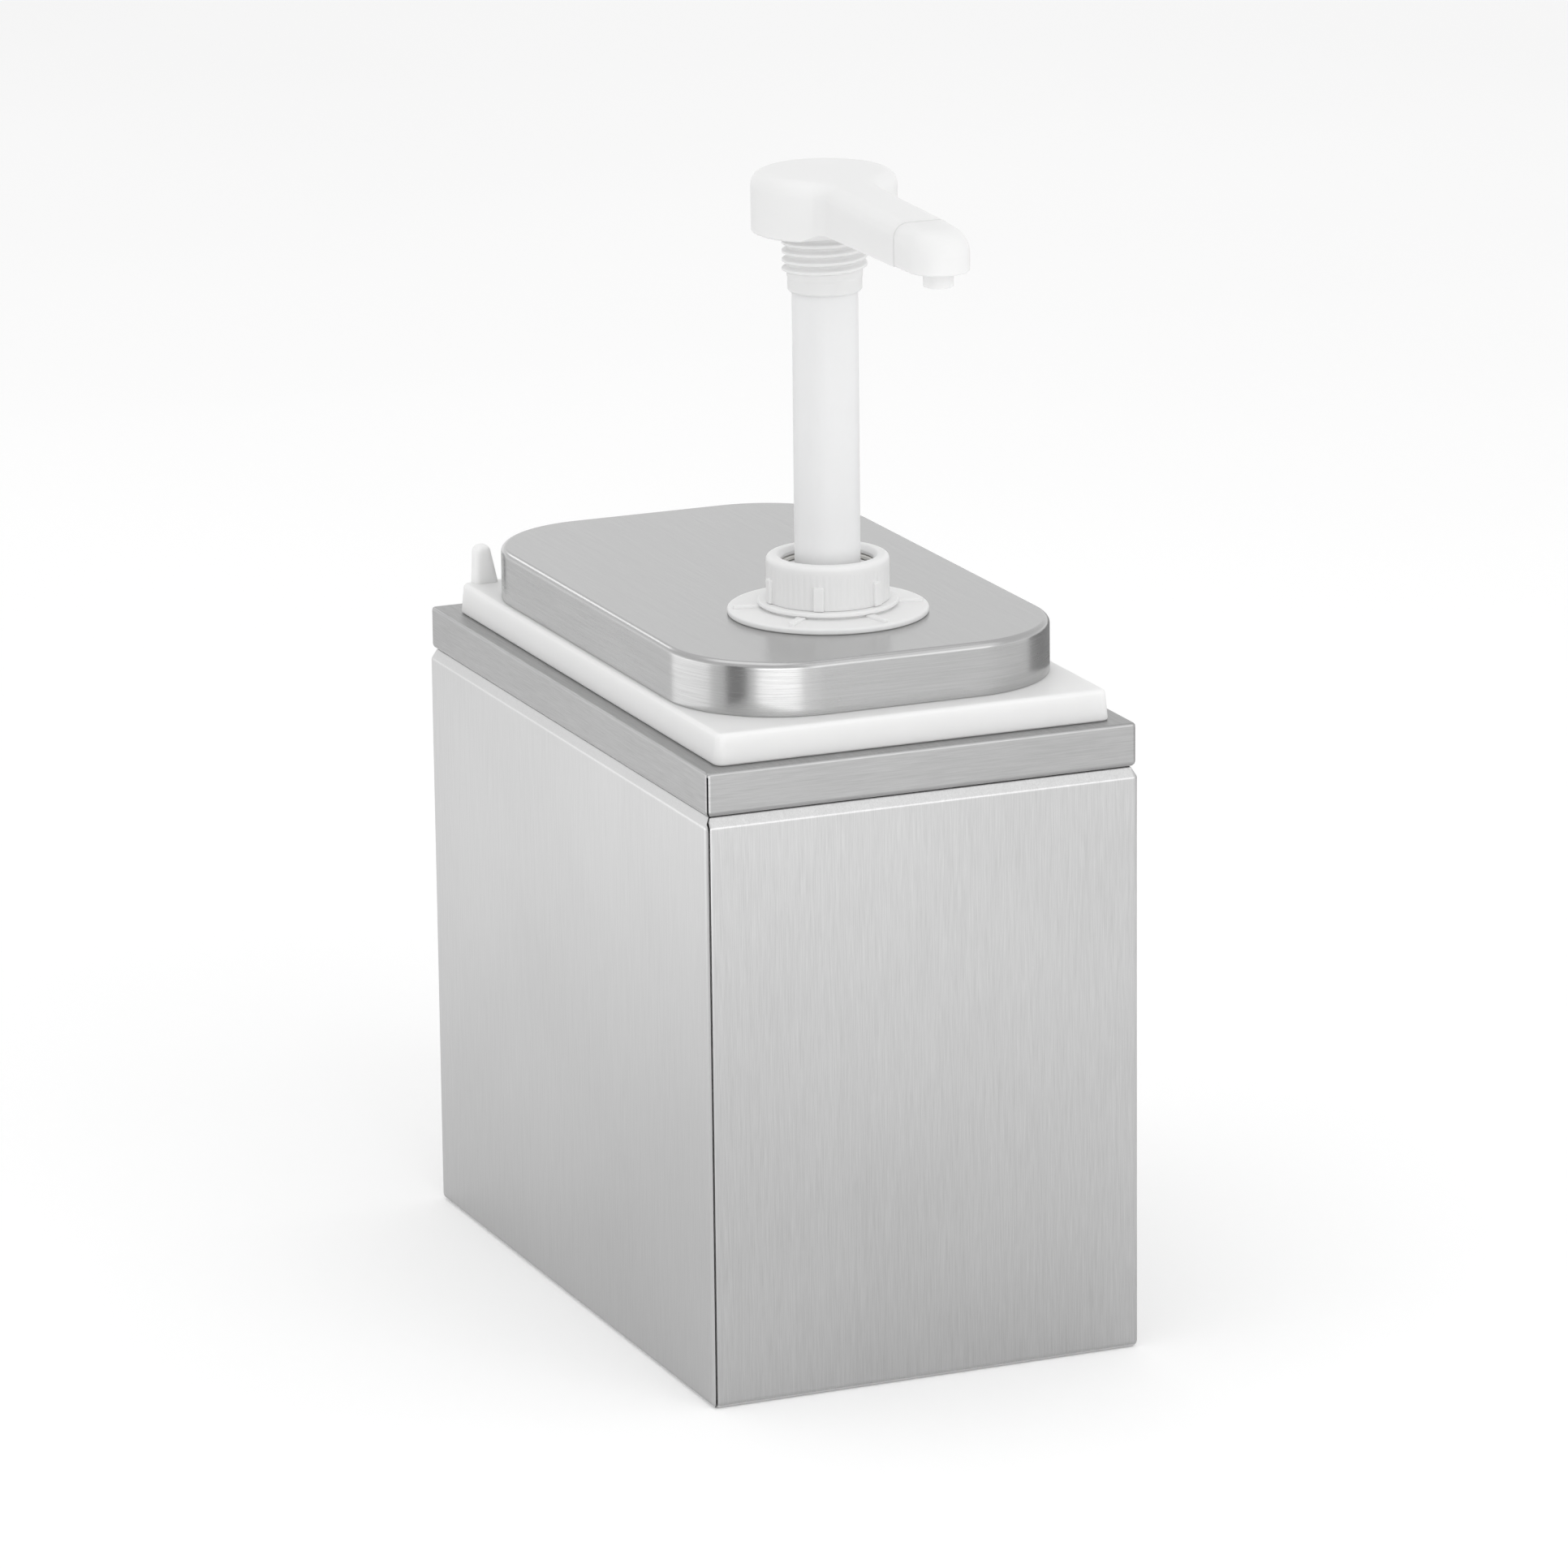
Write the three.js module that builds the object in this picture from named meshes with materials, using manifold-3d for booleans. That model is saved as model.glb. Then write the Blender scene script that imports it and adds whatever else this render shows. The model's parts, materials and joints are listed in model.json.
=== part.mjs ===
// Condiment pump dispenser: folded stainless housing, plastic container, steel lid and a lock-down hand pump.
// Millimetres, +Z up, front (spout side) towards -Y, origin at the middle of the underside.
import * as THREE from 'three';
import { mergeVertices } from 'three/addons/utils/BufferGeometryUtils.js';
import Module from 'manifold-3d';

const wasm = await Module();
wasm.setup();

// ---------- driving dimensions ----------
const WIDTH = 132;              // housing, X
const DEPTH = 216;              // housing, Y
const SHEET = 0.8;              // stainless sheet of housing, frame and lid
const SHELL_BEND_Z = 169.3;     // where the shell faces turn into the bevel
const SHELL_TOP_Z = 172.2;      // flat top flange of the shell
const BEVEL_IN = 1.8;           // how far the bevel leans inwards
const SHELL_FLANGE = 10;        // in-turned flanges of the shell
const CORNER_R = 1.8;           // vertical bends of shell and frame
const SEAM = { start: 0.7, width: 0.5 };   // open seam in the bends of the front left and rear right corners
const FRAME_INSET = 0.5;        // frame face behind the shell face
const FRAME_TOP_Z = 185;
const RIM = { halfX: 60.2, yFront: -102, yBack: 98, r: 3, top: 194, draft: 0.7 };
const MOUTH = { halfX: 55.4, yFront: -91.4, yBack: 95, r: 32, top: 198.5 };
const TUB_TOP = { halfX: 55.2, yFront: -91.2, yBack: 92, r: 26 };
const TUB_FOOT = { halfX: 50, yFront: -86.5, yBack: 87, r: 22 };
const TUB_FLOOR_Z = 8;
const TUB_WALL = 2.2;
const LID = { halfX: 57.4, yFront: -93.4, yBack: 97, r: 34, bottom: 194, top: 209.5, edge: 1.9 };
const LUG = { x: 53.4, y: 95, topZ: 205.5 };

const PUMP_Y = -40.6;           // pump axis
const BORE_R = 11.3;            // cylinder of the pump
const BARREL_R = 12.9;
const NECK = { root: 14.9, crest: 15.7, bore: 13.6, top: 220.5 };
const CAP = { r: 17.6, bottom: 213.6, top: 226.5, inner: 16.45, mouth: 13.25 };
const CAP_PITCH = 3.5;
const LOCK_PITCH = 2.5;
const STEM = { outer: 9.4, inner: 7.9 };
const PISTON_Z = 180;           // underside of the piston at the top of its stroke
const SLEEVE = { r: 10.6, bottom: 302.8 };
const HEAD = { padR: 20.7, bottom: 320.1, top: 337.3, edge: 4.2, fillet: 6 };
const DROOP = { start: 8, stop: 30, step: 1.3, slope: 0.031 };   // how the top falls towards the tip
const ARM = { half: 8.7, underside: 322.6, end: -109, channelZ: 328.6, channelR: 3.2, spigotR: 4.6 };
const NOZZLE = { y: -119.6, r: 4.2, bore: 3.3, bottom: 318.4 };
const BALL_R = 4.4;
const BALL_SEAT_R = 3;
const TUBE_GAP = 0.3;

const PUMP_SIDES = 32;              // outer turned pieces
const INNER_SIDES = 20;              // hidden turned pieces

const HALF_X = WIDTH / 2;
const HALF_Y = DEPTH / 2;

// ---------- materials ----------
const finish = (color, roughness, metalness) => new THREE.MeshStandardMaterial({ color, roughness, metalness });
const STEEL = finish(0xc6c7c8, 0.34, 1);
const SPRING_STEEL = finish(0xb4b6b8, 0.22, 1);
const TUB_PLASTIC = finish(0xeeefef, 0.42, 0);
const PUMP_PLASTIC = finish(0xf1f1f0, 0.38, 0);
const TUBE_PLASTIC = finish(0xe6eaea, 0.35, 0);
const SEAL_RUBBER = finish(0xd9d5cc, 0.6, 0);

// ---------- solids ----------
// Signed volume tells which way the faces of a closed geometry point.
function facingOut(geometry) {
  const made = geometry.index ? geometry.toNonIndexed() : geometry.clone();
  made.deleteAttribute('normal');
  made.deleteAttribute('uv');
  const p = made.getAttribute('position');
  const [a, b, c] = [new THREE.Vector3(), new THREE.Vector3(), new THREE.Vector3()];
  let volume = 0;
  for (let i = 0; i < p.count; i += 3) {
    a.fromBufferAttribute(p, i);
    b.fromBufferAttribute(p, i + 1);
    c.fromBufferAttribute(p, i + 2);
    volume += a.dot(b.cross(c)) / 6;
  }
  if (volume < 0) {
    for (let i = 0; i < p.count; i += 3) {
      a.fromBufferAttribute(p, i + 1);
      b.fromBufferAttribute(p, i + 2);
      p.setXYZ(i + 1, b.x, b.y, b.z);
      p.setXYZ(i + 2, a.x, a.y, a.z);
    }
  }
  return mergeVertices(made, 1e-4);
}

function solid(geometry) {
  const merged = facingOut(geometry);
  return new wasm.Manifold(new wasm.Mesh({
    numProp: 3,
    vertProperties: merged.attributes.position.array,
    triVerts: new Uint32Array(merged.index.array),
  }));
}

function geometryOf(made) {
  const mesh = made.getMesh();
  const positions = new Float32Array(mesh.numVert * 3);
  for (let i = 0; i < mesh.numVert; i++) {
    positions.set(mesh.vertProperties.subarray(i * mesh.numProp, i * mesh.numProp + 3), i * 3);
  }
  const geometry = new THREE.BufferGeometry();
  geometry.setAttribute('position', new THREE.BufferAttribute(positions, 3));
  geometry.setIndex(new THREE.BufferAttribute(new Uint32Array(mesh.triVerts), 1));
  return geometry;
}

const join = (first, ...others) => others.reduce((all, one) => all.add(one), first);
const cut = (first, ...others) => others.reduce((all, one) => all.subtract(one), first);

// Skin over a row of loops with the same number of points: closed on itself, or capped at both ends.
function skin(loops, closed = false) {
  const size = loops[0].length;
  const points = loops.flat();
  const index = [];
  const last = closed ? loops.length : loops.length - 1;
  for (let k = 0; k < last; k++) {
    const next = (k + 1) % loops.length;
    for (let i = 0; i < size; i++) {
      const j = (i + 1) % size;
      index.push(k * size + i, k * size + j, next * size + j);
      index.push(k * size + i, next * size + j, next * size + i);
    }
  }
  if (!closed) {
    const top = (loops.length - 1) * size;
    for (let i = 1; i < size - 1; i++) {
      index.push(0, i + 1, i);
      index.push(top, top + i, top + i + 1);
    }
  }
  const geometry = new THREE.BufferGeometry().setFromPoints(points);
  geometry.setIndex(index);
  return geometry;
}

function box(x0, x1, y0, y1, z0, z1) {
  const geometry = new THREE.BoxGeometry(x1 - x0, y1 - y0, z1 - z0);
  return solid(geometry.translate((x0 + x1) / 2, (y0 + y1) / 2, (z0 + z1) / 2));
}

// Turned piece about the pump axis: [radius, height] points that close on themselves or start and end on the axis.
function turned(profile, sides = PUMP_SIDES) {
  const points = profile.map(([r, z]) => new THREE.Vector2(r, z));
  if (profile[0][0] > 0) points.push(points[0].clone());
  return solid(new THREE.LatheGeometry(points, sides).rotateX(Math.PI / 2));
}

const ring = (inner, outer, z0, z1, sides = PUMP_SIDES) =>
  turned([[inner, z0], [outer, z0], [outer, z1], [inner, z1]], sides);

function rod(r, z0, z1, sides = PUMP_SIDES) {
  const geometry = new THREE.CylinderGeometry(r, r, z1 - z0, sides);
  return solid(geometry.rotateX(Math.PI / 2).translate(0, 0, (z0 + z1) / 2));
}

// Rod along Y at x = 0.
function rodY(r, y0, y1, z, sides = INNER_SIDES) {
  return solid(new THREE.CylinderGeometry(r, r, y1 - y0, sides).translate(0, (y0 + y1) / 2, z));
}

// Screw ridge: a tooth section of [radius, height] points, its base first, carried round and up the pump axis
// and faded into the base at both ends.
function ridge(section, pitch, turns, z0, perTurn = 16) {
  const steps = Math.round(turns * perTurn);
  const base = section[0][0];
  const loops = [];
  for (let i = 0; i <= steps; i++) {
    const angle = (i / perTurn) * 2 * Math.PI;
    const fade = Math.min(1, 0.15 + Math.min(i, steps - i) / 4);
    loops.push(section.map(([r, z]) => {
      const radius = base + (r - base) * fade;
      const height = z0 + z + (i / perTurn) * pitch;
      return new THREE.Vector3(radius * Math.cos(angle), radius * Math.sin(angle), height);
    }));
  }
  return solid(skin(loops));
}

// Rounded rectangle at one height, counter-clockwise from the middle of the right side.
function roundLoop({ halfX, yFront, yBack, r }, z, perCorner = 4) {
  const radius = Math.max(r, 0.15);
  const corners = [
    [halfX - radius, yBack - radius, 0],
    [-halfX + radius, yBack - radius, 0.5],
    [-halfX + radius, yFront + radius, 1],
    [halfX - radius, yFront + radius, 1.5],
  ];
  return corners.flatMap(([cx, cy, start]) => Array.from({ length: perCorner + 1 }, (_, i) => {
    const angle = (start + (0.5 * i) / perCorner) * Math.PI;
    return new THREE.Vector3(cx + radius * Math.cos(angle), cy + radius * Math.sin(angle), z);
  }));
}

const inset = (shape, d) => ({
  halfX: shape.halfX - d,
  yFront: shape.yFront + d,
  yBack: shape.yBack - d,
  r: shape.r - d,
});

// Points of a quarter bend: from straight-out to straight-up (or back) in a few steps.
function quarter(steps, place) {
  return Array.from({ length: steps + 1 }, (_, i) => place(Math.sin((i / steps) * Math.PI / 2),
    Math.cos((i / steps) * Math.PI / 2)));
}

// ---------- housing ----------
const SHELL = { halfX: HALF_X, yFront: -HALF_Y, yBack: HALF_Y, r: CORNER_R };

// The whole folded ring of the shell: bottom flange, bend, face, bevel and top flange.
function shellRing() {
  const bend = 2;
  const section = [
    [SHELL_FLANGE, 0],
    ...quarter(3, (s, c) => [bend - bend * s, bend - bend * c]),
    [0, SHELL_BEND_Z],
    [BEVEL_IN, SHELL_TOP_Z],
    [SHELL_FLANGE, SHELL_TOP_Z],
    [SHELL_FLANGE, SHELL_TOP_Z - SHEET],
    [BEVEL_IN + 0.35, SHELL_TOP_Z - SHEET],
    [SHEET, SHELL_BEND_Z - 0.3],
    ...quarter(3, (s, c) => [bend - (bend - SHEET) * c, bend - (bend - SHEET) * s]),
    [SHELL_FLANGE, SHEET],
  ];
  return solid(skin(section.map(([d, z]) => roundLoop(inset(SHELL, d), z, 3)), true));
}

// The ring is split at two seams, which lie beside opposite corners, so both halves are the same L-shaped sheet.
function shellHalf(turn) {
  const from = -HALF_X + SEAM.start + SEAM.width;
  const wrap = HALF_X - SEAM.start;
  const reach = 200;
  const region = new THREE.Shape([
    new THREE.Vector2(from, -reach),
    new THREE.Vector2(reach, -reach),
    new THREE.Vector2(reach, reach),
    new THREE.Vector2(wrap, reach),
    new THREE.Vector2(wrap, HALF_Y - 1.4),
    new THREE.Vector2(wrap - 11, HALF_Y - 12.4),
    new THREE.Vector2(from + 11, -HALF_Y + 12.2),
    new THREE.Vector2(from, -HALF_Y + 1.2),
  ]);
  const prism = solid(new THREE.ExtrudeGeometry(region, { depth: 300, bevelEnabled: false }).translate(0, 0, -50));
  // Joggled tab behind the neighbour's edge, where the two sheets are spot-welded.
  const behind = HALF_Y - SHEET - 0.15;
  const [foot, head] = [SHEET + 1.5, SHELL_TOP_Z - 4];
  const tab = join(
    box(HALF_X - 14, HALF_X - 1.8, behind - SHEET, behind, foot, head),
    box(HALF_X - 2.6, HALF_X - 1.8, behind - 1.8, behind, foot, head),
    box(HALF_X - 2.6, HALF_X - 0.6, behind - 1.8, behind - 1, foot, head),
  );
  const half = join(shellRing().intersect(prism), tab);
  return turn ? half.rotate([0, 0, 180]) : half;
}

// Bottom: a joggled plate, its rim on top of the shell flanges and its pan flush with their underside.
function basePlate() {
  const plate = { halfX: HALF_X - 3.5, yFront: -HALF_Y + 3.5, yBack: HALF_Y - 3.5, r: 3 };
  const pan = inset(plate, SHELL_FLANGE - 3.5 + TUBE_GAP);
  return solid(skin([
    roundLoop(inset(pan, SHEET), SHEET),
    roundLoop(inset(pan, SHEET), SHEET * 2 + 0.1),
    roundLoop(plate, SHEET * 2 + 0.1),
    roundLoop(plate, SHEET + 0.1),
    roundLoop(pan, SHEET + 0.1),
    roundLoop(pan, 0),
  ]));
}

// Folded collar that carries the container: skirt, top flange with the opening, and an in-turned foot.
function topFrame() {
  const outer = inset(SHELL, FRAME_INSET);
  const opening = { halfX: 56.5, yFront: -96.5, yBack: 93.5, r: 24 };
  const foot = SHELL_TOP_Z + 0.1;
  const bend = 1.6;
  const edge = 0.8;
  const at = (d, z) => roundLoop(inset(outer, d), z, 6);
  const loops = [
    at(8, foot),
    ...quarter(3, (s, c) => at(bend - bend * s, foot + bend - bend * c)),
    ...quarter(2, (s, c) => at(edge - edge * c, FRAME_TOP_Z - edge + edge * s)),
    roundLoop(opening, FRAME_TOP_Z, 6),
    roundLoop(opening, FRAME_TOP_Z - SHEET, 6),
    at(SHEET + 0.2, FRAME_TOP_Z - SHEET),
    at(SHEET, FRAME_TOP_Z - SHEET - 0.2),
    ...quarter(3, (s, c) => at(bend - (bend - SHEET) * c, foot + bend - (bend - SHEET) * s)),
    at(8, foot + SHEET),
  ];
  let frame = solid(skin(loops, true));
  // Open corner seams of the folded skirt.
  for (const [sx, sy] of [[-1, -1], [1, -1], [1, 1], [-1, 1]]) {
    const slot = solid(new THREE.BoxGeometry(0.35, 30, FRAME_TOP_Z - 1.4 - foot + 5));
    const angle = sx * sy > 0 ? -45 : 45;
    const x = sx * (HALF_X - FRAME_INSET - 0.5);
    const y = sy * (HALF_Y - FRAME_INSET - 0.5);
    const z = (FRAME_TOP_Z - 1.4 + foot - 5) / 2;
    frame = frame.subtract(slot.rotate([0, 0, angle]).translate([x, y, z]));
  }
  return frame;
}

// ---------- container ----------
function container() {
  const edge = 1;
  const rim = RIM;
  const foot = 4;
  const mouthIn = inset(MOUTH, 1.9);
  const wallTop = inset(TUB_TOP, TUB_WALL);
  const wallFoot = inset(TUB_FOOT, TUB_WALL);
  const at = (shape, z) => roundLoop(shape, z, 6);
  const tub = solid(skin([
    at(inset(TUB_FOOT, foot), TUB_FLOOR_Z),
    ...quarter(2, (s, c) => at(inset(TUB_FOOT, foot - foot * s), TUB_FLOOR_Z + foot - foot * c)).slice(1),
    at(TUB_TOP, RIM.top - 2.4),
    at(inset(rim, 2.3), RIM.top - 2.4),
    at(inset(rim, 2.3), FRAME_TOP_Z),
    at(rim, FRAME_TOP_Z),
    at(inset(rim, RIM.draft), RIM.top - edge),
    at(inset(rim, RIM.draft + edge * 0.3), RIM.top - edge * 0.3),
    at(inset(rim, RIM.draft + edge), RIM.top),
    at(MOUTH, RIM.top),
    at(inset(MOUTH, 0.2), MOUTH.top),
    at(mouthIn, MOUTH.top),
    at(inset(mouthIn, 0.1), RIM.top - 1.5),
    at(wallTop, RIM.top - 4),
    at(wallFoot, TUB_FLOOR_Z + TUB_WALL + 3),
    at(inset(wallFoot, 3), TUB_FLOOR_Z + TUB_WALL),
  ]));
  return join(tub, lug(-1), lug(1));
}

// Upright corner lug on the rear of the rim: leaning inner side, rounded top.
function lug(side) {
  const shape = new THREE.Shape();
  const outerX = LUG.x + 2.9;
  shape.moveTo(outerX + 0.5, RIM.top - 1.5);
  shape.lineTo(outerX, LUG.topZ - 2.2);
  shape.quadraticCurveTo(outerX, LUG.topZ, outerX - 2.2, LUG.topZ);
  shape.lineTo(outerX - 3, LUG.topZ);
  shape.quadraticCurveTo(outerX - 4.4, LUG.topZ, outerX - 4.8, LUG.topZ - 2);
  shape.lineTo(outerX - 7.4, RIM.top - 1.5);
  const geometry = new THREE.ExtrudeGeometry(shape, { depth: 5, bevelEnabled: false, curveSegments: 4 });
  const made = solid(geometry.rotateX(Math.PI / 2).translate(0, LUG.y + 2.5, 0));
  return side > 0 ? made : made.mirror([1, 0, 0]);
}

// ---------- lid group ----------
function lid() {
  const at = (d, z) => roundLoop(inset(LID, d), z, 8);
  const { edge, top, bottom } = LID;
  const inner = edge - SHEET;
  const cover = solid(skin([
    ...quarter(3, (s, c) => at(edge - inner * s, top - edge + inner * c)),
    at(SHEET, bottom),
    at(0, bottom),
    ...quarter(4, (s, c) => at(edge - edge * c, top - edge + edge * s)),
  ]));
  return cut(cover, rod(17.2, top - 5, top + 5).translate([0, PUMP_Y, 0]));
}

const ONE_TOOTH = (root, crest, half) => [[root, -half], [crest, -half * 0.45], [crest, half * 0.45], [root, half]];

// Disc, threaded neck above and plain spigot below, in one moulding.
function pumpFlange() {
  const z = LID.top;
  const body = turned([
    [NECK.bore, 197], [16.6, 197], [16.6, z], [28.2, z], [28.8, z + 0.6], [28.8, z + 1.4], [28.2, z + 2.1],
    [20.1, z + 2.2], [20.1, z + 3.5], [19.7, z + 3.8], [16.1, z + 3.8], [NECK.root, z + 3.8],
    [NECK.root, NECK.top], [NECK.bore, NECK.top],
  ]);
  const thread = ridge(ONE_TOOTH(NECK.root - 0.3, NECK.crest, 0.75), CAP_PITCH, 1.4, z + 4.8);
  let made = join(body, thread);
  for (let k = 0; k < 6; k++) {
    const rib = box(19.4, 26.8, -1.1, 1.1, z + 1.5, z + 3);
    made = made.add(rib.rotate([0, 0, k * 60 - 76]));
  }
  return made;
}

const flangeGasket = () => ring(16.9, 22.5, LID.top - SHEET - 1.7, LID.top - SHEET - 0.1, INNER_SIDES);

function lockNut() {
  const z = LID.top - SHEET - 1.9;
  const hexagon = new THREE.CylinderGeometry(24, 24, 7, 6).rotateX(Math.PI / 2).translate(0, 0, z - 3.5);
  return cut(solid(hexagon).intersect(rod(22.8, z - 8, z + 1)), rod(16.9, z - 9, z + 2));
}

// Cylinder of the pump: clamp flange, lock-down thread in the mouth, foot with the inlet ball seat and tube socket.
function pumpBarrel() {
  const body = turned([
    [BORE_R, 222.5], [14.7, 222.5], [14.7, NECK.top], [13.3, NECK.top], [13.3, 196], [BARREL_R, 195],
    [BARREL_R, 84], [8.4, 78], [8, 58], [6.2, 58], [6.2, 67], [BALL_SEAT_R, 67], [BALL_SEAT_R, 69.5],
    [5.3, 69.5], [5.3, 80], [7.3, 80], [7.3, 82], [BORE_R, 82],
  ], 24);
  const groove = ridge(ONE_TOOTH(BORE_R - 0.4, BORE_R + 1.25, 0.95), LOCK_PITCH, 3.6, 213.6);
  return cut(body, groove);
}

const capSeal = () => ring(12.6, 14.7, 222.8, 223.8, INNER_SIDES);

function screwCap() {
  const { r, bottom, top, inner, mouth } = CAP;
  const body = turned([
    [inner, bottom], [r, bottom], [r, top - 2], [r - 0.6, top - 0.6], [r - 2, top], [mouth + 1.2, top],
    [mouth, top - 1.4], [mouth, 224.1], [inner, 224.1],
  ]);
  const tooth = [[inner + 0.3, -0.7], [15.25, -0.3], [15.25, 0.3], [inner + 0.3, 0.7]].reverse();
  const thread = ridge(tooth, CAP_PITCH, 1.4, bottom + 2.45);
  let made = join(body, thread);
  for (let k = 0; k < 6; k++) {
    const lugSolid = box(r - 0.6, r + 0.9, -1.5, 1.5, bottom, bottom + 7);
    made = made.add(lugSolid.rotate([0, 0, k * 60 - 61.5]));
  }
  return made;
}

const stemGuide = () => ring(9.8, 11.05, 193, 210, INNER_SIDES);

const ballCage = (z) => {
  let cage = rod(5, z, z + 1.4, INNER_SIDES);
  for (let k = 0; k < 3; k++) {
    cage = cage.subtract(rod(1.5, z - 1, z + 3, 12).translate([2.9, 0, 0]).rotate([0, 0, k * 120]));
  }
  return cage;
};

const inletCage = () => join(ballCage(80.25), ring(4.5, 7.1, 80.25, 81.65, INNER_SIDES));

// Dip tube, its foot cut at a slant.
function dipTube() {
  const tube = ring(4.6, 6, 14, 66.7, INNER_SIDES);
  const knife = box(-20, 20, -20, 20, -20, 0).rotate([28, 0, 0]).translate([0, 0, 16.5]);
  return cut(tube, knife);
}

const ball = (z) => solid(new THREE.SphereGeometry(BALL_R, 14, 10).rotateX(Math.PI / 2).translate(0, 0, z));
const ballRestZ = (seatZ) => seatZ + Math.sqrt(BALL_R ** 2 - BALL_SEAT_R ** 2) + 0.06;

// ---------- plunger group ----------
const SPRING = { bottom: 82.3, top: 177.7, coilR: 9.2, wireR: 0.6, turns: 9 };

function returnSpring() {
  const { bottom, top, coilR, wireR, turns } = SPRING;
  const perTurn = 12;
  const steps = turns * perTurn;
  const loops = [];
  for (let i = 0; i <= steps; i++) {
    const t = i / steps;
    const angle = turns * t * 2 * Math.PI;
    const rise = THREE.MathUtils.smoothstep(t, 0.02, 0.98) * 0.25 + t * 0.75;
    const z = bottom + wireR + (top - bottom - 2 * wireR) * rise;
    loops.push(Array.from({ length: 5 }, (_, k) => {
      const w = (k / 5) * 2 * Math.PI;
      const r = coilR + wireR * Math.cos(w);
      return new THREE.Vector3(r * Math.cos(angle), r * Math.sin(angle), z + wireR * Math.sin(w));
    }));
  }
  return solid(skin(loops));
}

const springSeat = () => ring(6.5, 10.7, 178, 179.6, INNER_SIDES);

// Piston: seal groove, ball seat in its floor and a spigot that the stem tube is pressed over.
const piston = () => turned([
  [BALL_SEAT_R, PISTON_Z], [10.9, PISTON_Z], [10.9, PISTON_Z + 3.5], [9.4, PISTON_Z + 3.5],
  [9.4, PISTON_Z + 7.9], [10.9, PISTON_Z + 7.9], [10.9, PISTON_Z + 12], [7.7, PISTON_Z + 12],
  [7.7, PISTON_Z + 22], [5.2, PISTON_Z + 22], [5.2, PISTON_Z + 4], [BALL_SEAT_R, PISTON_Z + 4],
], INNER_SIDES);

const pistonSeal = () => turned([
  [9.6, PISTON_Z + 3.8], [10.6, PISTON_Z + 3.8], [11.1, PISTON_Z + 4.8], [10.8, PISTON_Z + 5.7],
  [11.1, PISTON_Z + 6.6], [10.6, PISTON_Z + 7.6], [9.6, PISTON_Z + 7.6],
], INNER_SIDES);

const outletCage = () => ballCage(PISTON_Z + 14.9);

const stemTube = () => ring(STEM.inner, STEM.outer, PISTON_Z + 12.1, 325.7, 24);

// Fall of the top of the head and tip below the press pad, by distance in front of the pump axis.
const droop = (y) => THREE.MathUtils.smoothstep(-y, DROOP.start, DROOP.stop) * DROOP.step
  + Math.max(0, -y - DROOP.stop + 2) * DROOP.slope;

// Plan outline of press pad and arm, drawn in by d: from the right end of the arm round the pad to its left end.
function headOutline(d) {
  const padR = HEAD.padR - d;
  const half = ARM.half - d;
  const fillet = HEAD.fillet + d;
  const filletX = half + fillet;
  const filletY = -Math.sqrt((padR + fillet) ** 2 - filletX ** 2);
  const touch = Math.atan2(filletX, -filletY);
  const right = [[half, ARM.end - PUMP_Y - 9], [half, (ARM.end - PUMP_Y - 9 + filletY) / 2]];
  for (let i = 5; i >= 1; i--) {
    const angle = touch * (1 - i / 5) + (Math.PI / 2) * (i / 5);
    right.push([filletX - fillet * Math.sin(angle), filletY + fillet * Math.cos(angle)]);
  }
  const steps = 13;
  for (let i = 0; i < steps; i++) {
    const angle = touch + (i / steps) * (Math.PI - touch);
    right.push([padR * Math.sin(angle), -padR * Math.cos(angle)]);
  }
  return [...right, [0, padR], ...right.map(([x, y]) => [-x, y]).reverse()];
}

// Skin over outlines that mirror about x = 0, closed below and above by bands across.
function bandedLoft(loops) {
  const size = loops[0].length;
  const sides = skin(loops);
  const index = Array.from(sides.index.array).slice(0, (loops.length - 1) * size * 6);
  const top = (loops.length - 1) * size;
  for (let i = 0; i < Math.floor(size / 2); i++) {
    const [a, b, c, d] = [i, i + 1, size - 2 - i, size - 1 - i];
    const quads = b === c ? [[a, b, d]] : b > c ? [] : [[a, b, c], [a, c, d]];
    for (const [p, q, r] of quads) {
      index.push(p, r, q);
      index.push(top + p, top + q, top + r);
    }
  }
  sides.setIndex(index);
  return solid(sides);
}

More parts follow.
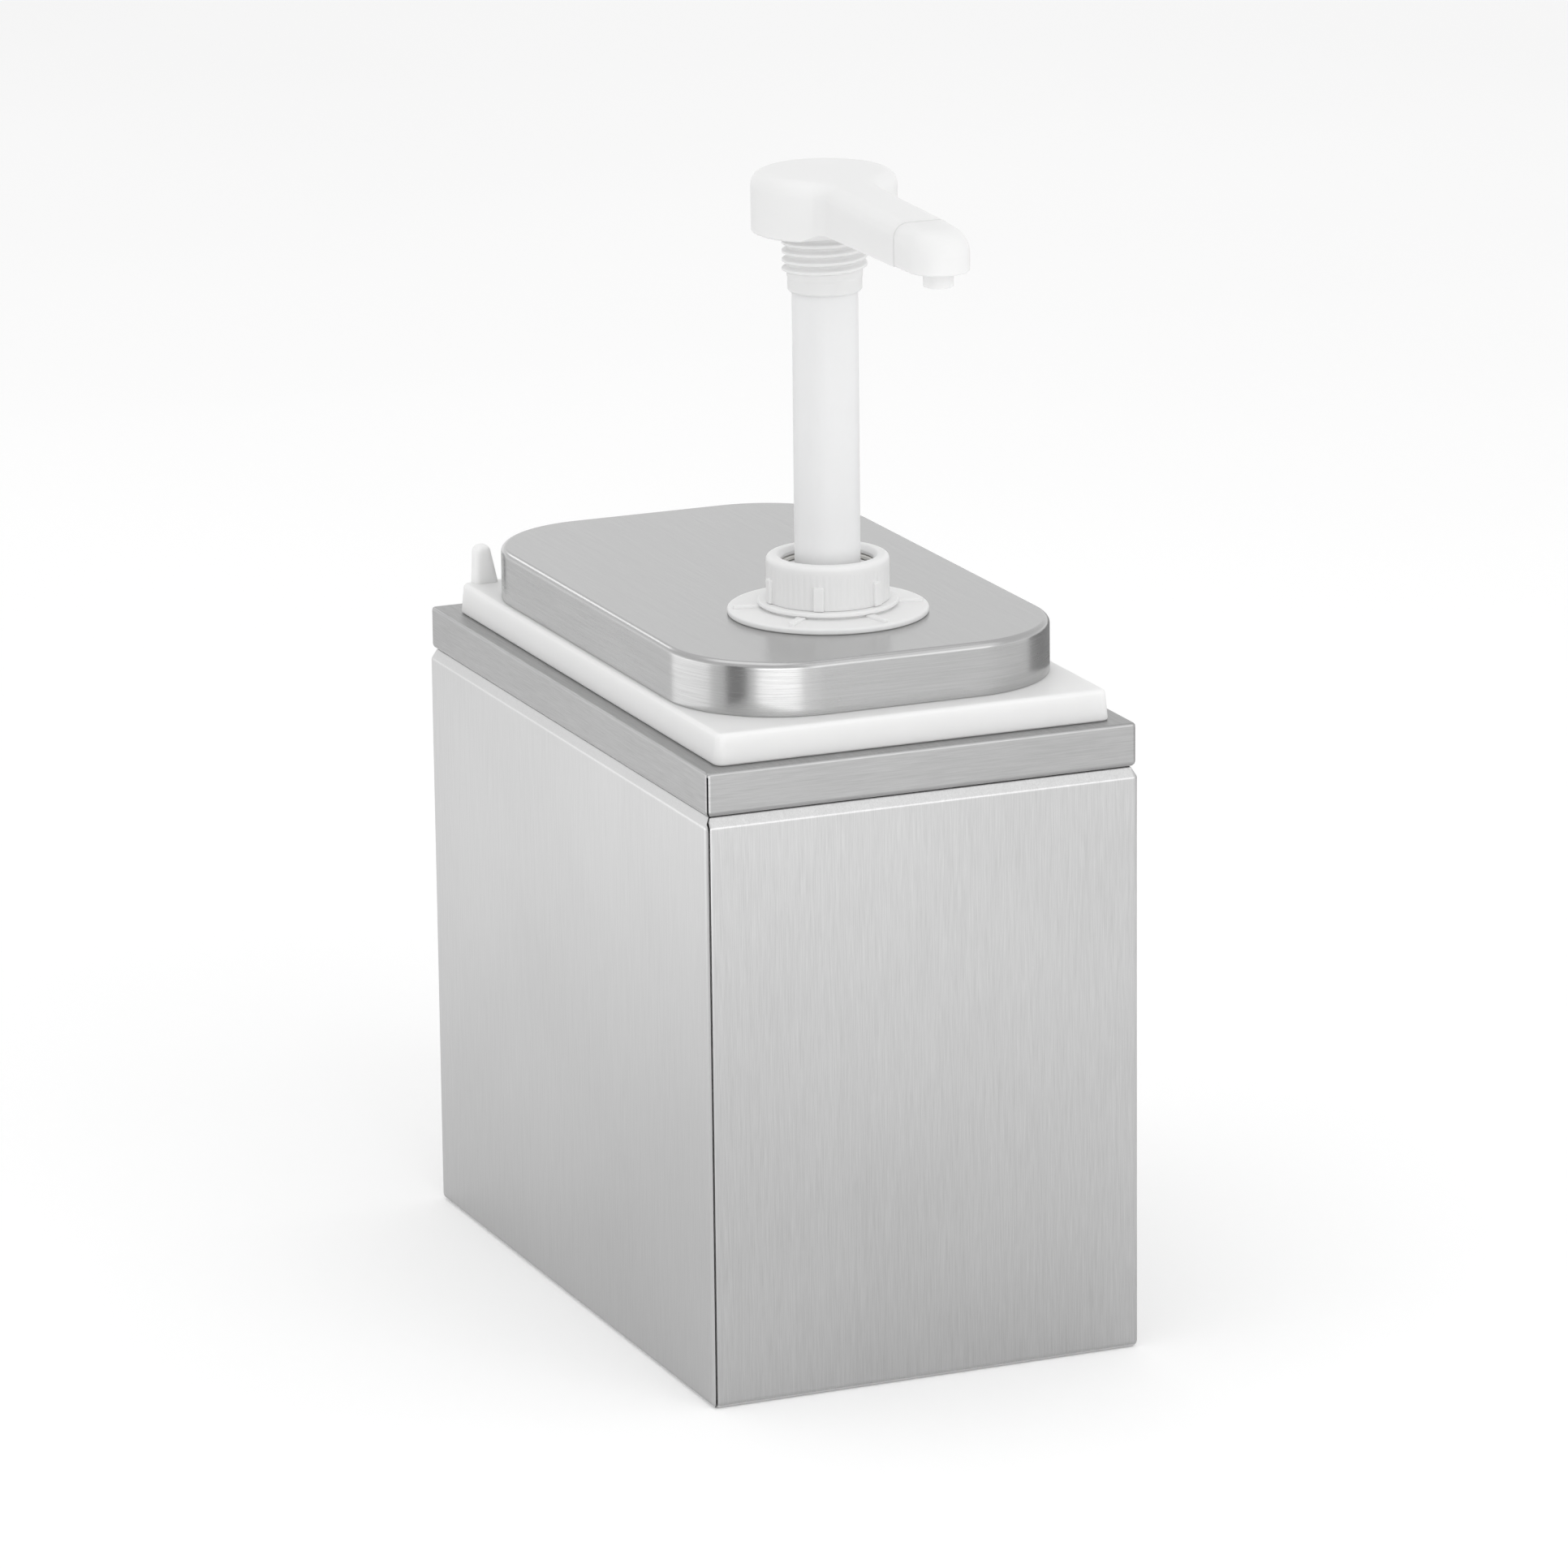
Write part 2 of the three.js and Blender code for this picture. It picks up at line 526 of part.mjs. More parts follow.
function pumpHead() {
  const lip = 0.8;
  const { bottom, top, edge } = HEAD;
  const end = ARM.end - PUMP_Y;
  const flat = (d, z) => headOutline(d).map(([x, y]) => new THREE.Vector3(x, y, z));
  const falling = (d, z) => headOutline(d).map(([x, y]) => new THREE.Vector3(x, y, z - droop(y)));
  const loops = [
    flat(lip, bottom),
    flat(0.25, bottom + 0.25),
    flat(0, bottom + lip),
    ...quarter(4, (s, c) => falling(edge - edge * c, top - edge + edge * s)),
  ];
  const underArm = new THREE.Shape([
    new THREE.Vector2(-11.6, bottom - 1),
    new THREE.Vector2(-12.2, bottom),
    new THREE.Vector2(-14.4, bottom + 0.4),
    new THREE.Vector2(-19, ARM.underside - 0.4),
    new THREE.Vector2(-21.2, ARM.underside),
    new THREE.Vector2(-90, ARM.underside),
    new THREE.Vector2(-90, bottom - 1),
  ]);
  const under = new THREE.ExtrudeGeometry(underArm, { depth: 60, bevelEnabled: false });
  under.applyMatrix4(new THREE.Matrix4().makeBasis(
    new THREE.Vector3(0, 1, 0), new THREE.Vector3(0, 0, 1), new THREE.Vector3(1, 0, 0),
  ).setPosition(-30, 0, 0));
  const sleeve = turned([
    [9.7, SLEEVE.bottom], [10.1, SLEEVE.bottom], [SLEEVE.r, SLEEVE.bottom + 0.6], [SLEEVE.r, 306.6],
    [10.8, 307.4], [10.8, bottom + 1], [9.7, bottom + 1],
  ], 24);
  const thread = ridge(ONE_TOOTH(10.6, 12.15, 0.85), LOCK_PITCH, 4, 308.3);
  const pad = cut(bandedLoft(loops), solid(under), box(-20, 20, end - 20, end, 300, 350));
  const spigot = rodY(ARM.spigotR, end - 7, end + 2, ARM.channelZ);
  return cut(
    join(pad, sleeve, thread, spigot),
    rod(9.7, SLEEVE.bottom - 1, 326),
    rod(6.4, 325, 331.5, INNER_SIDES),
    rodY(ARM.channelR, end - 8, 0, ARM.channelZ, 16),
  );
}

// Plan outline of the tip: straight sides and a round end about the nozzle, drawn in by d and pulled back.
function tipOutline(d, pull) {
  const half = ARM.half - d;
  const endY = NOZZLE.y - PUMP_Y + pull;
  const start = ARM.end - PUMP_Y;
  const left = [[-half, start + 9], [-half, start], [-half, start - 5]];
  const steps = 7;
  for (let i = 0; i < steps; i++) {
    const angle = (i / steps) * (Math.PI / 2);
    left.push([-half * Math.cos(angle), endY - half * Math.sin(angle)]);
  }
  return [...left, [0, endY - half], ...left.map(([x, y]) => [-x, y]).reverse()];
}

function spoutTip() {
  const { top, edge } = HEAD;
  const end = ARM.end - PUMP_Y - TUBE_GAP;
  const rounding = (y) => edge + 2.4 * THREE.MathUtils.smoothstep(end - y, 0, 13);
  const flat = (d, z) => tipOutline(d, 0).map(([x, y]) => new THREE.Vector3(x, y, z));
  const body = bandedLoft([
    flat(0.8, ARM.underside),
    flat(0, ARM.underside + 0.8),
    ...quarter(4, (s, c) => tipOutline(edge - edge * c, 3.2 * (1 - c)).map(([x, y]) => (
      new THREE.Vector3(x, y, top - 0.2 - droop(y) - rounding(y) * (1 - s))))),
  ]);
  const y = NOZZLE.y - PUMP_Y;
  const nozzle = rod(NOZZLE.r, NOZZLE.bottom, ARM.underside + 2, 20).translate([0, y, 0]);
  return cut(
    join(body, nozzle),
    box(-20, 20, end, end + 30, 300, 350),
    rodY(ARM.spigotR + TUBE_GAP, end - 7.4, end + 1, ARM.channelZ, 20),
    rodY(ARM.channelR, y, end, ARM.channelZ, 16),
    rod(NOZZLE.bore, NOZZLE.bottom - 1, ARM.channelZ + 1.5, 16).translate([0, y, 0]),
  );
}

// ---------- assembly ----------
const dispenser = new THREE.Group();
const pump = new THREE.Group();
pump.position.set(0, PUMP_Y, 0);
dispenser.add(pump);

function place(parent, name, made, material) {
  const mesh = new THREE.Mesh(geometryOf(made), material);
  mesh.name = name;
  parent.add(mesh);
}

place(dispenser, 'front_right_shell', shellHalf(false), STEEL);
place(dispenser, 'rear_left_shell', shellHalf(true), STEEL);
place(dispenser, 'base_plate', basePlate(), STEEL);
place(dispenser, 'top_frame', topFrame(), STEEL);
place(dispenser, 'container', container(), TUB_PLASTIC);
place(dispenser, 'lid', lid(), STEEL);

place(pump, 'pump_flange', pumpFlange(), PUMP_PLASTIC);
place(pump, 'flange_gasket', flangeGasket(), SEAL_RUBBER);
place(pump, 'lock_nut', lockNut(), PUMP_PLASTIC);
place(pump, 'pump_barrel', pumpBarrel(), TUBE_PLASTIC);
place(pump, 'cap_seal', capSeal(), SEAL_RUBBER);
place(pump, 'screw_cap', screwCap(), PUMP_PLASTIC);
place(pump, 'stem_guide', stemGuide(), PUMP_PLASTIC);
place(pump, 'inlet_ball_cage', inletCage(), PUMP_PLASTIC);
place(pump, 'inlet_ball', ball(ballRestZ(69.5)), SPRING_STEEL);
place(pump, 'dip_tube', dipTube(), TUBE_PLASTIC);
place(pump, 'return_spring', returnSpring(), SPRING_STEEL);
place(pump, 'spring_seat', springSeat(), PUMP_PLASTIC);
place(pump, 'piston', piston(), PUMP_PLASTIC);
place(pump, 'piston_seal', pistonSeal(), SEAL_RUBBER);
place(pump, 'outlet_ball', ball(ballRestZ(PISTON_Z + 4)), SPRING_STEEL);
place(pump, 'outlet_ball_cage', outletCage(), PUMP_PLASTIC);
place(pump, 'stem_tube', stemTube(), TUBE_PLASTIC);
place(pump, 'pump_head', pumpHead(), PUMP_PLASTIC);
place(pump, 'spout_tip', spoutTip(), PUMP_PLASTIC);

export default dispenser;
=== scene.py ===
"""Looks of the condiment pump dispenser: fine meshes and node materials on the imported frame.

Lengths in the shape code are millimetres in the frame's axes: +X right, -Y front, +Z up.
"""

import json
import math

import bmesh
import bpy
from mathutils import Matrix, Vector


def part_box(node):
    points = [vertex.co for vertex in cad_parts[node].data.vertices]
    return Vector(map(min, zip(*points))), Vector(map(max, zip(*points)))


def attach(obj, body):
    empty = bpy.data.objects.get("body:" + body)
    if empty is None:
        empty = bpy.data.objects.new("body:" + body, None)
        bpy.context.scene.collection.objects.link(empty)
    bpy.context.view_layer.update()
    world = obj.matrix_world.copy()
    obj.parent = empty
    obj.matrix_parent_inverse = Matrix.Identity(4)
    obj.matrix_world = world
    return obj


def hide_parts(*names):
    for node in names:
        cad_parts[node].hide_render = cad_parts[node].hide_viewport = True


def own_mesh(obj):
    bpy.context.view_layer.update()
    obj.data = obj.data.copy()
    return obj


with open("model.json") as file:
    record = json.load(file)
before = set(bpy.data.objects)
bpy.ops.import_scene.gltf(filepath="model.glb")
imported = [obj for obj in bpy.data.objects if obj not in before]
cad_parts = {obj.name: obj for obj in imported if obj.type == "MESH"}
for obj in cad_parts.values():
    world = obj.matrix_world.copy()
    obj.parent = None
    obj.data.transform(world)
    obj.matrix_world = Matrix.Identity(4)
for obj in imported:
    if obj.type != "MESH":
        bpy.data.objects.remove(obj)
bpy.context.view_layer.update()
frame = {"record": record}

MM = 0.001
TAU = 2 * math.pi


def extent(node):
    """Lowest and highest corner of a CAD node in millimetres."""
    low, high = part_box(node)
    return low / MM, high / MM


# ---------- sizes ----------
SHEET = 0.8
FLANGE = 10.0
BEVEL_IN = 1.8
BEVEL_DROP = 2.9
SEAM_WIDTH = 0.5
SHELL_LOW, SHELL_HIGH = extent("front_right_shell")
HALF_X = SHELL_HIGH.x
HALF_Y = -SHELL_LOW.y
SHELL_TOP = SHELL_HIGH.z
SHELL_BEND = SHELL_TOP - BEVEL_DROP
SEAM_X = -SHELL_LOW.x

FRAME_LOW, FRAME_HIGH = extent("top_frame")
LID_LOW, LID_HIGH = extent("lid")
LID_CORNER_R = 34
PUMP_HOLE_R = 17.2

PUMP_LOW, PUMP_HIGH = extent("pump_flange")
PUMP_Y = (PUMP_LOW.y + PUMP_HIGH.y) / 2
DISC_R = 28.8
RAISED_R = 20.1
NECK_R = 14.9
NECK_BORE_R = 13.6
NECK_TOP = 220.5
SPIGOT_LOW = 197
SPIGOT_OUT_R = 16.6
NUT_BORE_R = 16.9
NUT_R = 24
GASKET_R = 22.5
GASKET_LOW, GASKET_HIGH = 207, 208.6

BORE_R = 11.3
BARREL_R = 12.9
CLAMP_R = 14.7
BARREL_MOUTH = 222.5
CAP_LOW, CAP_HIGH = extent("screw_cap")
CAP_R = 17.6
CAP_BORE_R = 16.45
CAP_MOUTH_R = 13.25
CAP_CEILING = 224.1
CAP_GROOVES = 60
CAP_GRIPS = 6
CAP_PITCH = 3.5
LOCK_PITCH = 2.5

STEM_R = extent("stem_tube")[1].x
SPRING_LOW, SPRING_HIGH = extent("return_spring")

HEAD_LOW, HEAD_HIGH = extent("pump_head")
PAD_R = HEAD_HIGH.x
PAD_BOTTOM = 320.1
HEAD_TOP = HEAD_HIGH.z
HEAD_EDGE = 4.2
SLEEVE_R = 10.8
SLEEVE_BORE_R = 9.7
SLEEVE_TOP = 322
TIP_LOW, TIP_HIGH = extent("spout_tip")
ARM_HALF = TIP_HIGH.x
ARM_END = TIP_HIGH.y + 0.3
ARM_BOTTOM = 322.6
CHANNEL_Z = 328.6
CHANNEL_R = 3.2
SPIGOT_R = 4.6
NOZZLE_Y = TIP_LOW.y + ARM_HALF
NOZZLE_R = 4.2
NOZZLE_BORE_R = 3.3


# ---------- mesh building ----------
def make(name, verts, faces):
    mesh = bpy.data.meshes.new(name)
    mesh.from_pydata([(x * MM, y * MM, z * MM) for x, y, z in verts], [], faces)
    work = bmesh.new()
    work.from_mesh(mesh)
    bmesh.ops.remove_doubles(work, verts=work.verts, dist=1e-7)
    bmesh.ops.recalc_face_normals(work, faces=work.faces)
    work.to_mesh(mesh)
    work.free()
    piece = bpy.data.objects.new(name, mesh)
    bpy.context.scene.collection.objects.link(piece)
    return piece


def loft(name, loops, closed=False, bands=False):
    """Skin over loops with the same number of points, closed on itself or capped at both ends.

    Bands close the ends of loops that mirror about x = 0 with strips from side to side."""
    size = len(loops[0])
    verts = [point for loop in loops for point in loop]
    faces = []
    for k in range(len(loops) if closed else len(loops) - 1):
        here, there = k * size, (k + 1) % len(loops) * size
        for i in range(size):
            j = (i + 1) % size
            faces.append((here + i, here + j, there + j, there + i))
    if bands:
        for first in (0, len(verts) - size):
            for i in range(size // 2):
                corners = (i, i + 1, size - 2 - i, size - 1 - i)
                faces.append(tuple(dict.fromkeys(first + c for c in corners)))
    elif not closed:
        faces.append(tuple(range(size)))
        faces.append(tuple(range(len(verts) - size, len(verts))))
    return make(name, verts, faces)


def turn(name, profile, sides=96, bump=None):
    """Turned piece about the pump axis.

    A profile that starts on the axis also ends there, and any other closes on itself."""
    solid = profile[0][0] == 0
    verts, rows = [], []
    for r, z in profile:
        if r == 0:
            rows.append([len(verts)] * sides)
            verts.append((0, PUMP_Y, z))
            continue
        rows.append(list(range(len(verts), len(verts) + sides)))
        for k in range(sides):
            angle = TAU * k / sides
            out = r + (bump(angle, r, z) if bump else 0)
            verts.append((out * math.cos(angle), PUMP_Y + out * math.sin(angle), z))
    faces = []
    for k in range(len(rows) - 1 if solid else len(rows)):
        low, high = rows[k], rows[(k + 1) % len(rows)]
        for i in range(sides):
            j = (i + 1) % sides
            corners = [low[i], low[j], high[j], high[i]]
            faces.append(tuple(dict.fromkeys(corners)))
    return make(name, verts, faces)


def cylinder(name, r, low, high, sides=96):
    """Plain upright cylinder on the pump axis."""
    return turn(name, [(0, low), (r, low), (r, high), (0, high)], sides)


def rounded(corners, steps=5):
    """Closed outline of (a, b, radius) corners with each corner turned into an arc."""
    points = []
    for i, (a, b, *radius) in enumerate(corners):
        here = Vector((a, b))
        if not radius:
            points.append((a, b))
            continue
        back = Vector(corners[i - 1][:2]) - here
        ahead = Vector(corners[(i + 1) % len(corners)][:2]) - here
        half = back.angle(ahead) / 2
        reach = min(radius[0] / math.tan(half), back.length * 0.49, ahead.length * 0.49)
        r = reach * math.tan(half)
        back.normalize()
        ahead.normalize()
        centre = here + (back + ahead).normalized() * (r / math.sin(half))
        start, stop = here + back * reach - centre, here + ahead * reach - centre
        sweep = start.angle(stop)
        for k in range(steps + 1):
            t = k / steps
            arm = start * math.sin((1 - t) * sweep) + stop * math.sin(t * sweep)
            points.append(tuple(centre + arm / math.sin(sweep)))
    return points


def wall_section(inner, outer, low, high, edge):
    """Section of a plain tube with a small radius at its four corners."""
    return rounded([
        (inner, low, edge), (outer, low, edge), (outer, high, edge), (inner, high, edge),
    ])


def round_loop(shape, inset, z, per=10):
    """Rounded rectangle (half width, front, back, corner radius), drawn in, at one height."""
    half, front, back, radius = shape
    half, front, back = half - inset, front + inset, back - inset
    radius = max(radius - inset, 0.15)
    points = []
    for cx, cy, quadrant in (
        (half - radius, back - radius, 0),
        (radius - half, back - radius, 1),
        (radius - half, front + radius, 2),
        (half - radius, front + radius, 3),
    ):
        for k in range(per + 1):
            angle = (quadrant + k / per) * TAU / 4
            points.append((cx + radius * math.cos(angle), cy + radius * math.sin(angle), z))
    return points


def arc(d0, z0, d1, z1, steps, first="z"):
    """Quarter bend between two points of a section: it leaves along the named direction."""
    points = []
    for k in range(steps + 1):
        t = k / steps * TAU / 4
        if first == "z":
            points.append((d0 + (d1 - d0) * (1 - math.cos(t)), z0 + (z1 - z0) * math.sin(t)))
        else:
            points.append((d0 + (d1 - d0) * math.sin(t), z0 + (z1 - z0) * (1 - math.cos(t))))
    return points


def prism(name, outline, low, high, axis="z"):
    """Straight block over a closed outline.

    Along z the outline is (x, y); along x it is (y, z); along y it is (x, z)."""
    point = {
        "z": lambda a, b, c: (a, b, c),
        "x": lambda a, b, c: (c, a, b),
        "y": lambda a, b, c: (a, c, b),
    }[axis]
    return loft(name, [[point(a, b, c) for a, b in outline] for c in (low, high)])


def block(name, x0, x1, y0, y1, z0, z1):
    return prism(name, [(x0, y0), (x1, y0), (x1, y1), (x0, y1)], z0, z1)


def circle(a, b, r, sides):
    angles = [TAU * k / sides for k in range(sides)]
    return [(a + r * math.cos(angle), b + r * math.sin(angle)) for angle in angles]


def rod_y(name, r, y0, y1, z, sides=48):
    return prism(name, circle(0, z, r, sides), y0, y1, "y")


def bake(piece):
    """The piece's modifiers become its mesh."""
    settled = piece.evaluated_get(bpy.context.evaluated_depsgraph_get())
    shaped = bpy.data.meshes.new_from_object(settled)
    old = piece.data
    piece.modifiers.clear()
    piece.data = shaped
    bpy.data.meshes.remove(old)
    return piece


def boolean(piece, tool, operation="DIFFERENCE"):
    modifier = piece.modifiers.new("boolean", "BOOLEAN")
    modifier.operation = operation
    modifier.solver = "EXACT"
    modifier.object = tool
    bake(piece)
    mesh = tool.data
    bpy.data.objects.remove(tool)
    bpy.data.meshes.remove(mesh)
    return piece


def soften(piece, width, angle=50, segments=2):
    """Small radius along the sharp edges."""
    modifier = piece.modifiers.new("edge", "BEVEL")
    modifier.width = width * MM
    modifier.segments = segments
    modifier.limit_method = "ANGLE"
    modifier.angle_limit = math.radians(angle)
    modifier.use_clamp_overlap = True
    return bake(piece)


def transform(piece, matrix):
    piece.data.transform(matrix)
    return piece


def shift(x, y, z):
    """Translation given in millimetres."""
    return Matrix.Translation((x * MM, y * MM, z * MM))


def about_pump(degrees):
    centre = Vector((0, PUMP_Y * MM, 0))
    turned = Matrix.Rotation(math.radians(degrees), 4, "Z")
    return Matrix.Translation(centre) @ turned @ Matrix.Translation(-centre)


def place(piece, node, material, sharp=32):
    """Shading, material and frame duties of a finished piece.

    It rides where the CAD node that it replaces rides."""
    piece.data.shade_smooth()
    piece.data.set_sharp_from_angle(angle=math.radians(sharp))
    weighted = piece.modifiers.new("normals", "WEIGHTED_NORMAL")
    weighted.keep_sharp = True
    piece.data.materials.clear()
    piece.data.materials.append(material)
    bodies = frame["record"]["behaviour"]["bodies"]
    body = next(name for name, nodes in bodies.items() if node in nodes)
    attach(piece, body)
    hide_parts(node)
    return piece


# ---------- materials ----------
class Look:
    """One node material: a Principled shader and a few helpers to wire it."""

    def __init__(self, name):
        self.material = bpy.data.materials.new(name)
        self.material.use_nodes = True
        self.tree = self.material.node_tree
        self.tree.nodes.clear()
        output = self.node("OutputMaterial")
        self.shader = self.node("BsdfPrincipled")
        self.link(self.shader.outputs["BSDF"], output.inputs["Surface"])
        self.coords = self.node("TexCoord").outputs["Object"]
        self.normal = self.node("NewGeometry").outputs["Normal"]

    def node(self, kind, **settings):
        made = self.tree.nodes.new("ShaderNode" + kind)
        for key, value in settings.items():
            setattr(made, key, value)
        return made

    def link(self, source, target):
        self.tree.links.new(source, target)

    def wire(self, source, name):
        """A value into one of the shader's sockets."""
        self.link(source, self.shader.inputs[name])

    def fill(self, name, constant):
        """A constant on one of the shader's sockets."""
        self.shader.inputs[name].default_value = constant

    def noise(self, scale, detail=3.0, rough=0.6, seed=0.0):
        """Noise of the object coordinates in cycles per metre, one scale or one per axis."""
        mapping = self.node("Mapping")
        mapping.inputs["Scale"].default_value = scale if isinstance(scale, tuple) else (scale,) * 3
        mapping.inputs["Location"].default_value = (seed, seed * 1.7, seed * 2.3)
        self.link(self.coords, mapping.inputs["Vector"])
        texture = self.node("TexNoise")
        texture.inputs["Scale"].default_value = 1
        texture.inputs["Detail"].default_value = detail
        texture.inputs["Roughness"].default_value = rough
        self.link(mapping.outputs["Vector"], texture.inputs["Vector"])
        return texture.outputs["Fac"]

    def span(self, value, low, high, from_low=0.3, from_high=0.7):
        """A value's range stretched to another range."""
        made = self.node("MapRange")
        for key, number in (
            ("From Min", from_low), ("From Max", from_high), ("To Min", low), ("To Max", high),
        ):
            made.inputs[key].default_value = number
        self.link(value, made.inputs["Value"])
        return made.outputs["Result"]

    def math(self, operation, first, second):
        made = self.node("Math", operation=operation)
        for socket, value in zip(made.inputs, (first, second)):
            if isinstance(value, (int, float)):
                socket.default_value = value
            else:
                self.link(value, socket)
        return made.outputs["Value"]

    def vector(self, operation, first, second):
        made = self.node("VectorMath", operation=operation)
        for socket, value in zip(made.inputs, (first, second)):
            if isinstance(value, tuple):
                socket.default_value = value
            else:
                self.link(value, socket)
        return made.outputs["Vector"]

    def mix(self, factor, first, second, kind="FLOAT"):
        made = self.node("Mix", data_type=kind)
        index = {"FLOAT": 2, "VECTOR": 4, "RGBA": 6}[kind]
        self.link(factor, made.inputs[0])
        for offset, value in enumerate((first, second)):
            socket = made.inputs[index + offset]
            if isinstance(value, (int, float, tuple)):
                socket.default_value = value
            else:
                self.link(value, socket)
        return made.outputs[{"FLOAT": 0, "VECTOR": 1, "RGBA": 2}[kind]]

    def bump(self, height, distance, strength=1.0):
        made = self.node("Bump")
        made.inputs["Distance"].default_value = distance * MM
        made.inputs["Strength"].default_value = strength
        self.link(height, made.inputs["Height"])
        self.wire(made.outputs["Normal"], "Normal")

    def facing_up(self, start=0.6, stop=0.85):
        """1 on faces that look up or down, 0 on upright ones."""
        parts = self.node("SeparateXYZ")
        self.link(self.normal, parts.inputs["Vector"])
        level = self.math("ABSOLUTE", parts.outputs["Z"], 0.0)
        return self.span(level, 0.0, 1.0, start, stop)

    def mottled(self, cloud, colour, loss):
        """A colour that a cloud darkens here and there by a small share."""
        darker = tuple(c * (1 - loss) for c in colour[:3]) + (1.0,)
        self.wire(self.mix(self.span(cloud, 0.0, 1.0), darker, colour, "RGBA"), "Base Color")


def brushed(name, upright, dark, light, roughness, depth, fine, length=90.0, spread=0.4,
            level=1.0, calm=1.0):
    """Brushed stainless sheet, with its grain and tone range, roughness and grain depth.

    The grain of upright faces runs up (upright) or round; on level faces it runs front to back.
    There level scales the tone, a painted shade on level faces, and calm the strength of the grain."""
    look = Look(name)
    look.fill("Metallic", 1)
    look.fill("Anisotropic", spread)
    up = look.facing_up()
    coarse, long = fine * 0.22, length * 0.35
    if upright:
        thin = look.noise((fine, fine, length), 3, 0.65)
        wide = look.noise((coarse, coarse, long), 2, 0.5, 3.1)
        across = look.vector("CROSS_PRODUCT", look.normal, (0.0, 0.0, 1.0))
    else:
        thin = look.mix(
            up,
            look.noise((length, length, fine), 3, 0.65),
            look.noise((fine, length, fine), 3, 0.65, 5.3),
        )
        wide = look.mix(
            up,
            look.noise((long, long, coarse), 2, 0.5, 3.1),
            look.noise((coarse, long, coarse), 2, 0.5, 7.7),
        )
        across = look.mix(up, (0.0, 0.0, 1.0), (1.0, 0.0, 0.0), "VECTOR")
    look.wire(across, "Tangent")
    cloud = look.noise(16.0, 3, 0.5, 1.9)
    grain = look.math("ADD", look.math("MULTIPLY", thin, 0.82), look.math("MULTIPLY", wide, 0.18))
    strength = look.span(up, 1.0, calm, 0.0, 1.0)
    swing = look.math("MULTIPLY", look.math("SUBTRACT", grain, 0.5), strength)
    grain = look.math("ADD", swing, 0.5)
    tone = look.math("ADD", look.span(grain, dark, light), look.span(cloud, -0.01, 0.01))
    # Painted shade: level faces take their tone times level, so they are darker wherever level is
    # below 1.
    look.wire(look.math("MULTIPLY", tone, look.span(up, 1.0, level, 0.0, 1.0)), "Base Color")
    sheen = look.span(grain, roughness + 0.05, roughness - 0.04)
    look.wire(look.math("ADD", sheen, look.span(cloud, -0.015, 0.02)), "Roughness")
    look.bump(grain, depth, 0.5)
    return look.material


def plastic(name, colour, roughness, depth, weight):
    """Milky polyolefin moulding.

    Light scatters a little way in, and the surface has a fine moulded grain."""
    look = Look(name)
    look.fill("Specular IOR Level", 0.35)
    look.fill("Subsurface Weight", weight)
    look.fill("Subsurface Radius", (1.0, 1.0, 1.0))
    look.fill("Subsurface Scale", depth * MM)
    cloud = look.noise(60.0, 4, 0.55)
    grain = look.noise(2600.0, 2, 0.5, 2.2)
    look.mottled(cloud, colour, 0.012)
    sheen = look.span(cloud, roughness - 0.03, roughness + 0.03)
    look.wire(look.math("ADD", sheen, look.span(grain, -0.03, 0.03)), "Roughness")
    look.bump(look.math("ADD", grain, look.math("MULTIPLY", cloud, 1.5)), 0.01, 0.35)
    return look.material


def drawn_wire(name, tone, roughness):
    """Polished spring and ball steel with fine drawing marks."""
    look = Look(name)
    look.fill("Metallic", 1)
    marks = look.noise(900.0, 3, 0.6)
    cloud = look.noise(120.0, 2, 0.5, 1.3)
    patches = look.span(cloud, tone - 0.03, tone + 0.03)
    look.wire(look.math("ADD", patches, look.span(marks, -0.02, 0.02)), "Base Color")
    look.wire(look.span(marks, roughness - 0.04, roughness + 0.06), "Roughness")
    look.bump(marks, 0.004, 0.3)
    return look.material


def rubber(name, colour):
    look = Look(name)
    grain = look.noise(1800.0, 3, 0.6)
    cloud = look.noise(90.0, 3, 0.5, 4.0)
    look.mottled(cloud, colour, 0.1)
    look.wire(look.span(grain, 0.55, 0.75), "Roughness")
    look.bump(grain, 0.02, 0.4)
    return look.material


SHELL_STEEL = brushed(
    "shell_steel", True, dark=0.58, light=0.71, roughness=0.33, depth=0.006, fine=3900.0,
)
# Painted light: the rear-left sheet is the same steel as the front sheet with a lighter tone,
# standing in for the brighter light that its left side catches.
SIDE_STEEL_PAINTED_LIGHTER = brushed(
    "side_steel_painted_lighter", True, dark=0.67, light=0.725, roughness=0.36, depth=0.002, fine=3600.0,
)
# Painted shade: level=0.77 darkens the collar's level flanges, standing in for the dim reflection
# they catch beside the tub rim.
FRAME_STEEL = brushed(
    "frame_steel", False, dark=0.43, light=0.53, roughness=0.32, depth=0.006, fine=3200.0,
    level=0.77,
)
LID_STEEL = brushed(
    "lid_steel", False, dark=0.445, light=0.53, roughness=0.24, depth=0.0018, fine=3400.0,
    length=60.0, spread=0.35, calm=0.3,
)
TUB_PLASTIC = plastic(
    "tub_plastic", (0.85, 0.85, 0.846, 1.0), roughness=0.42, depth=4.0, weight=0.5,
)
PUMP_PLASTIC = plastic(
    "pump_plastic", (0.82, 0.82, 0.818, 1.0), roughness=0.5, depth=2.5, weight=0.35,
)
TUBE_PLASTIC = plastic(
    "tube_plastic", (0.83, 0.832, 0.835, 1.0), roughness=0.5, depth=2.5, weight=0.4,
)
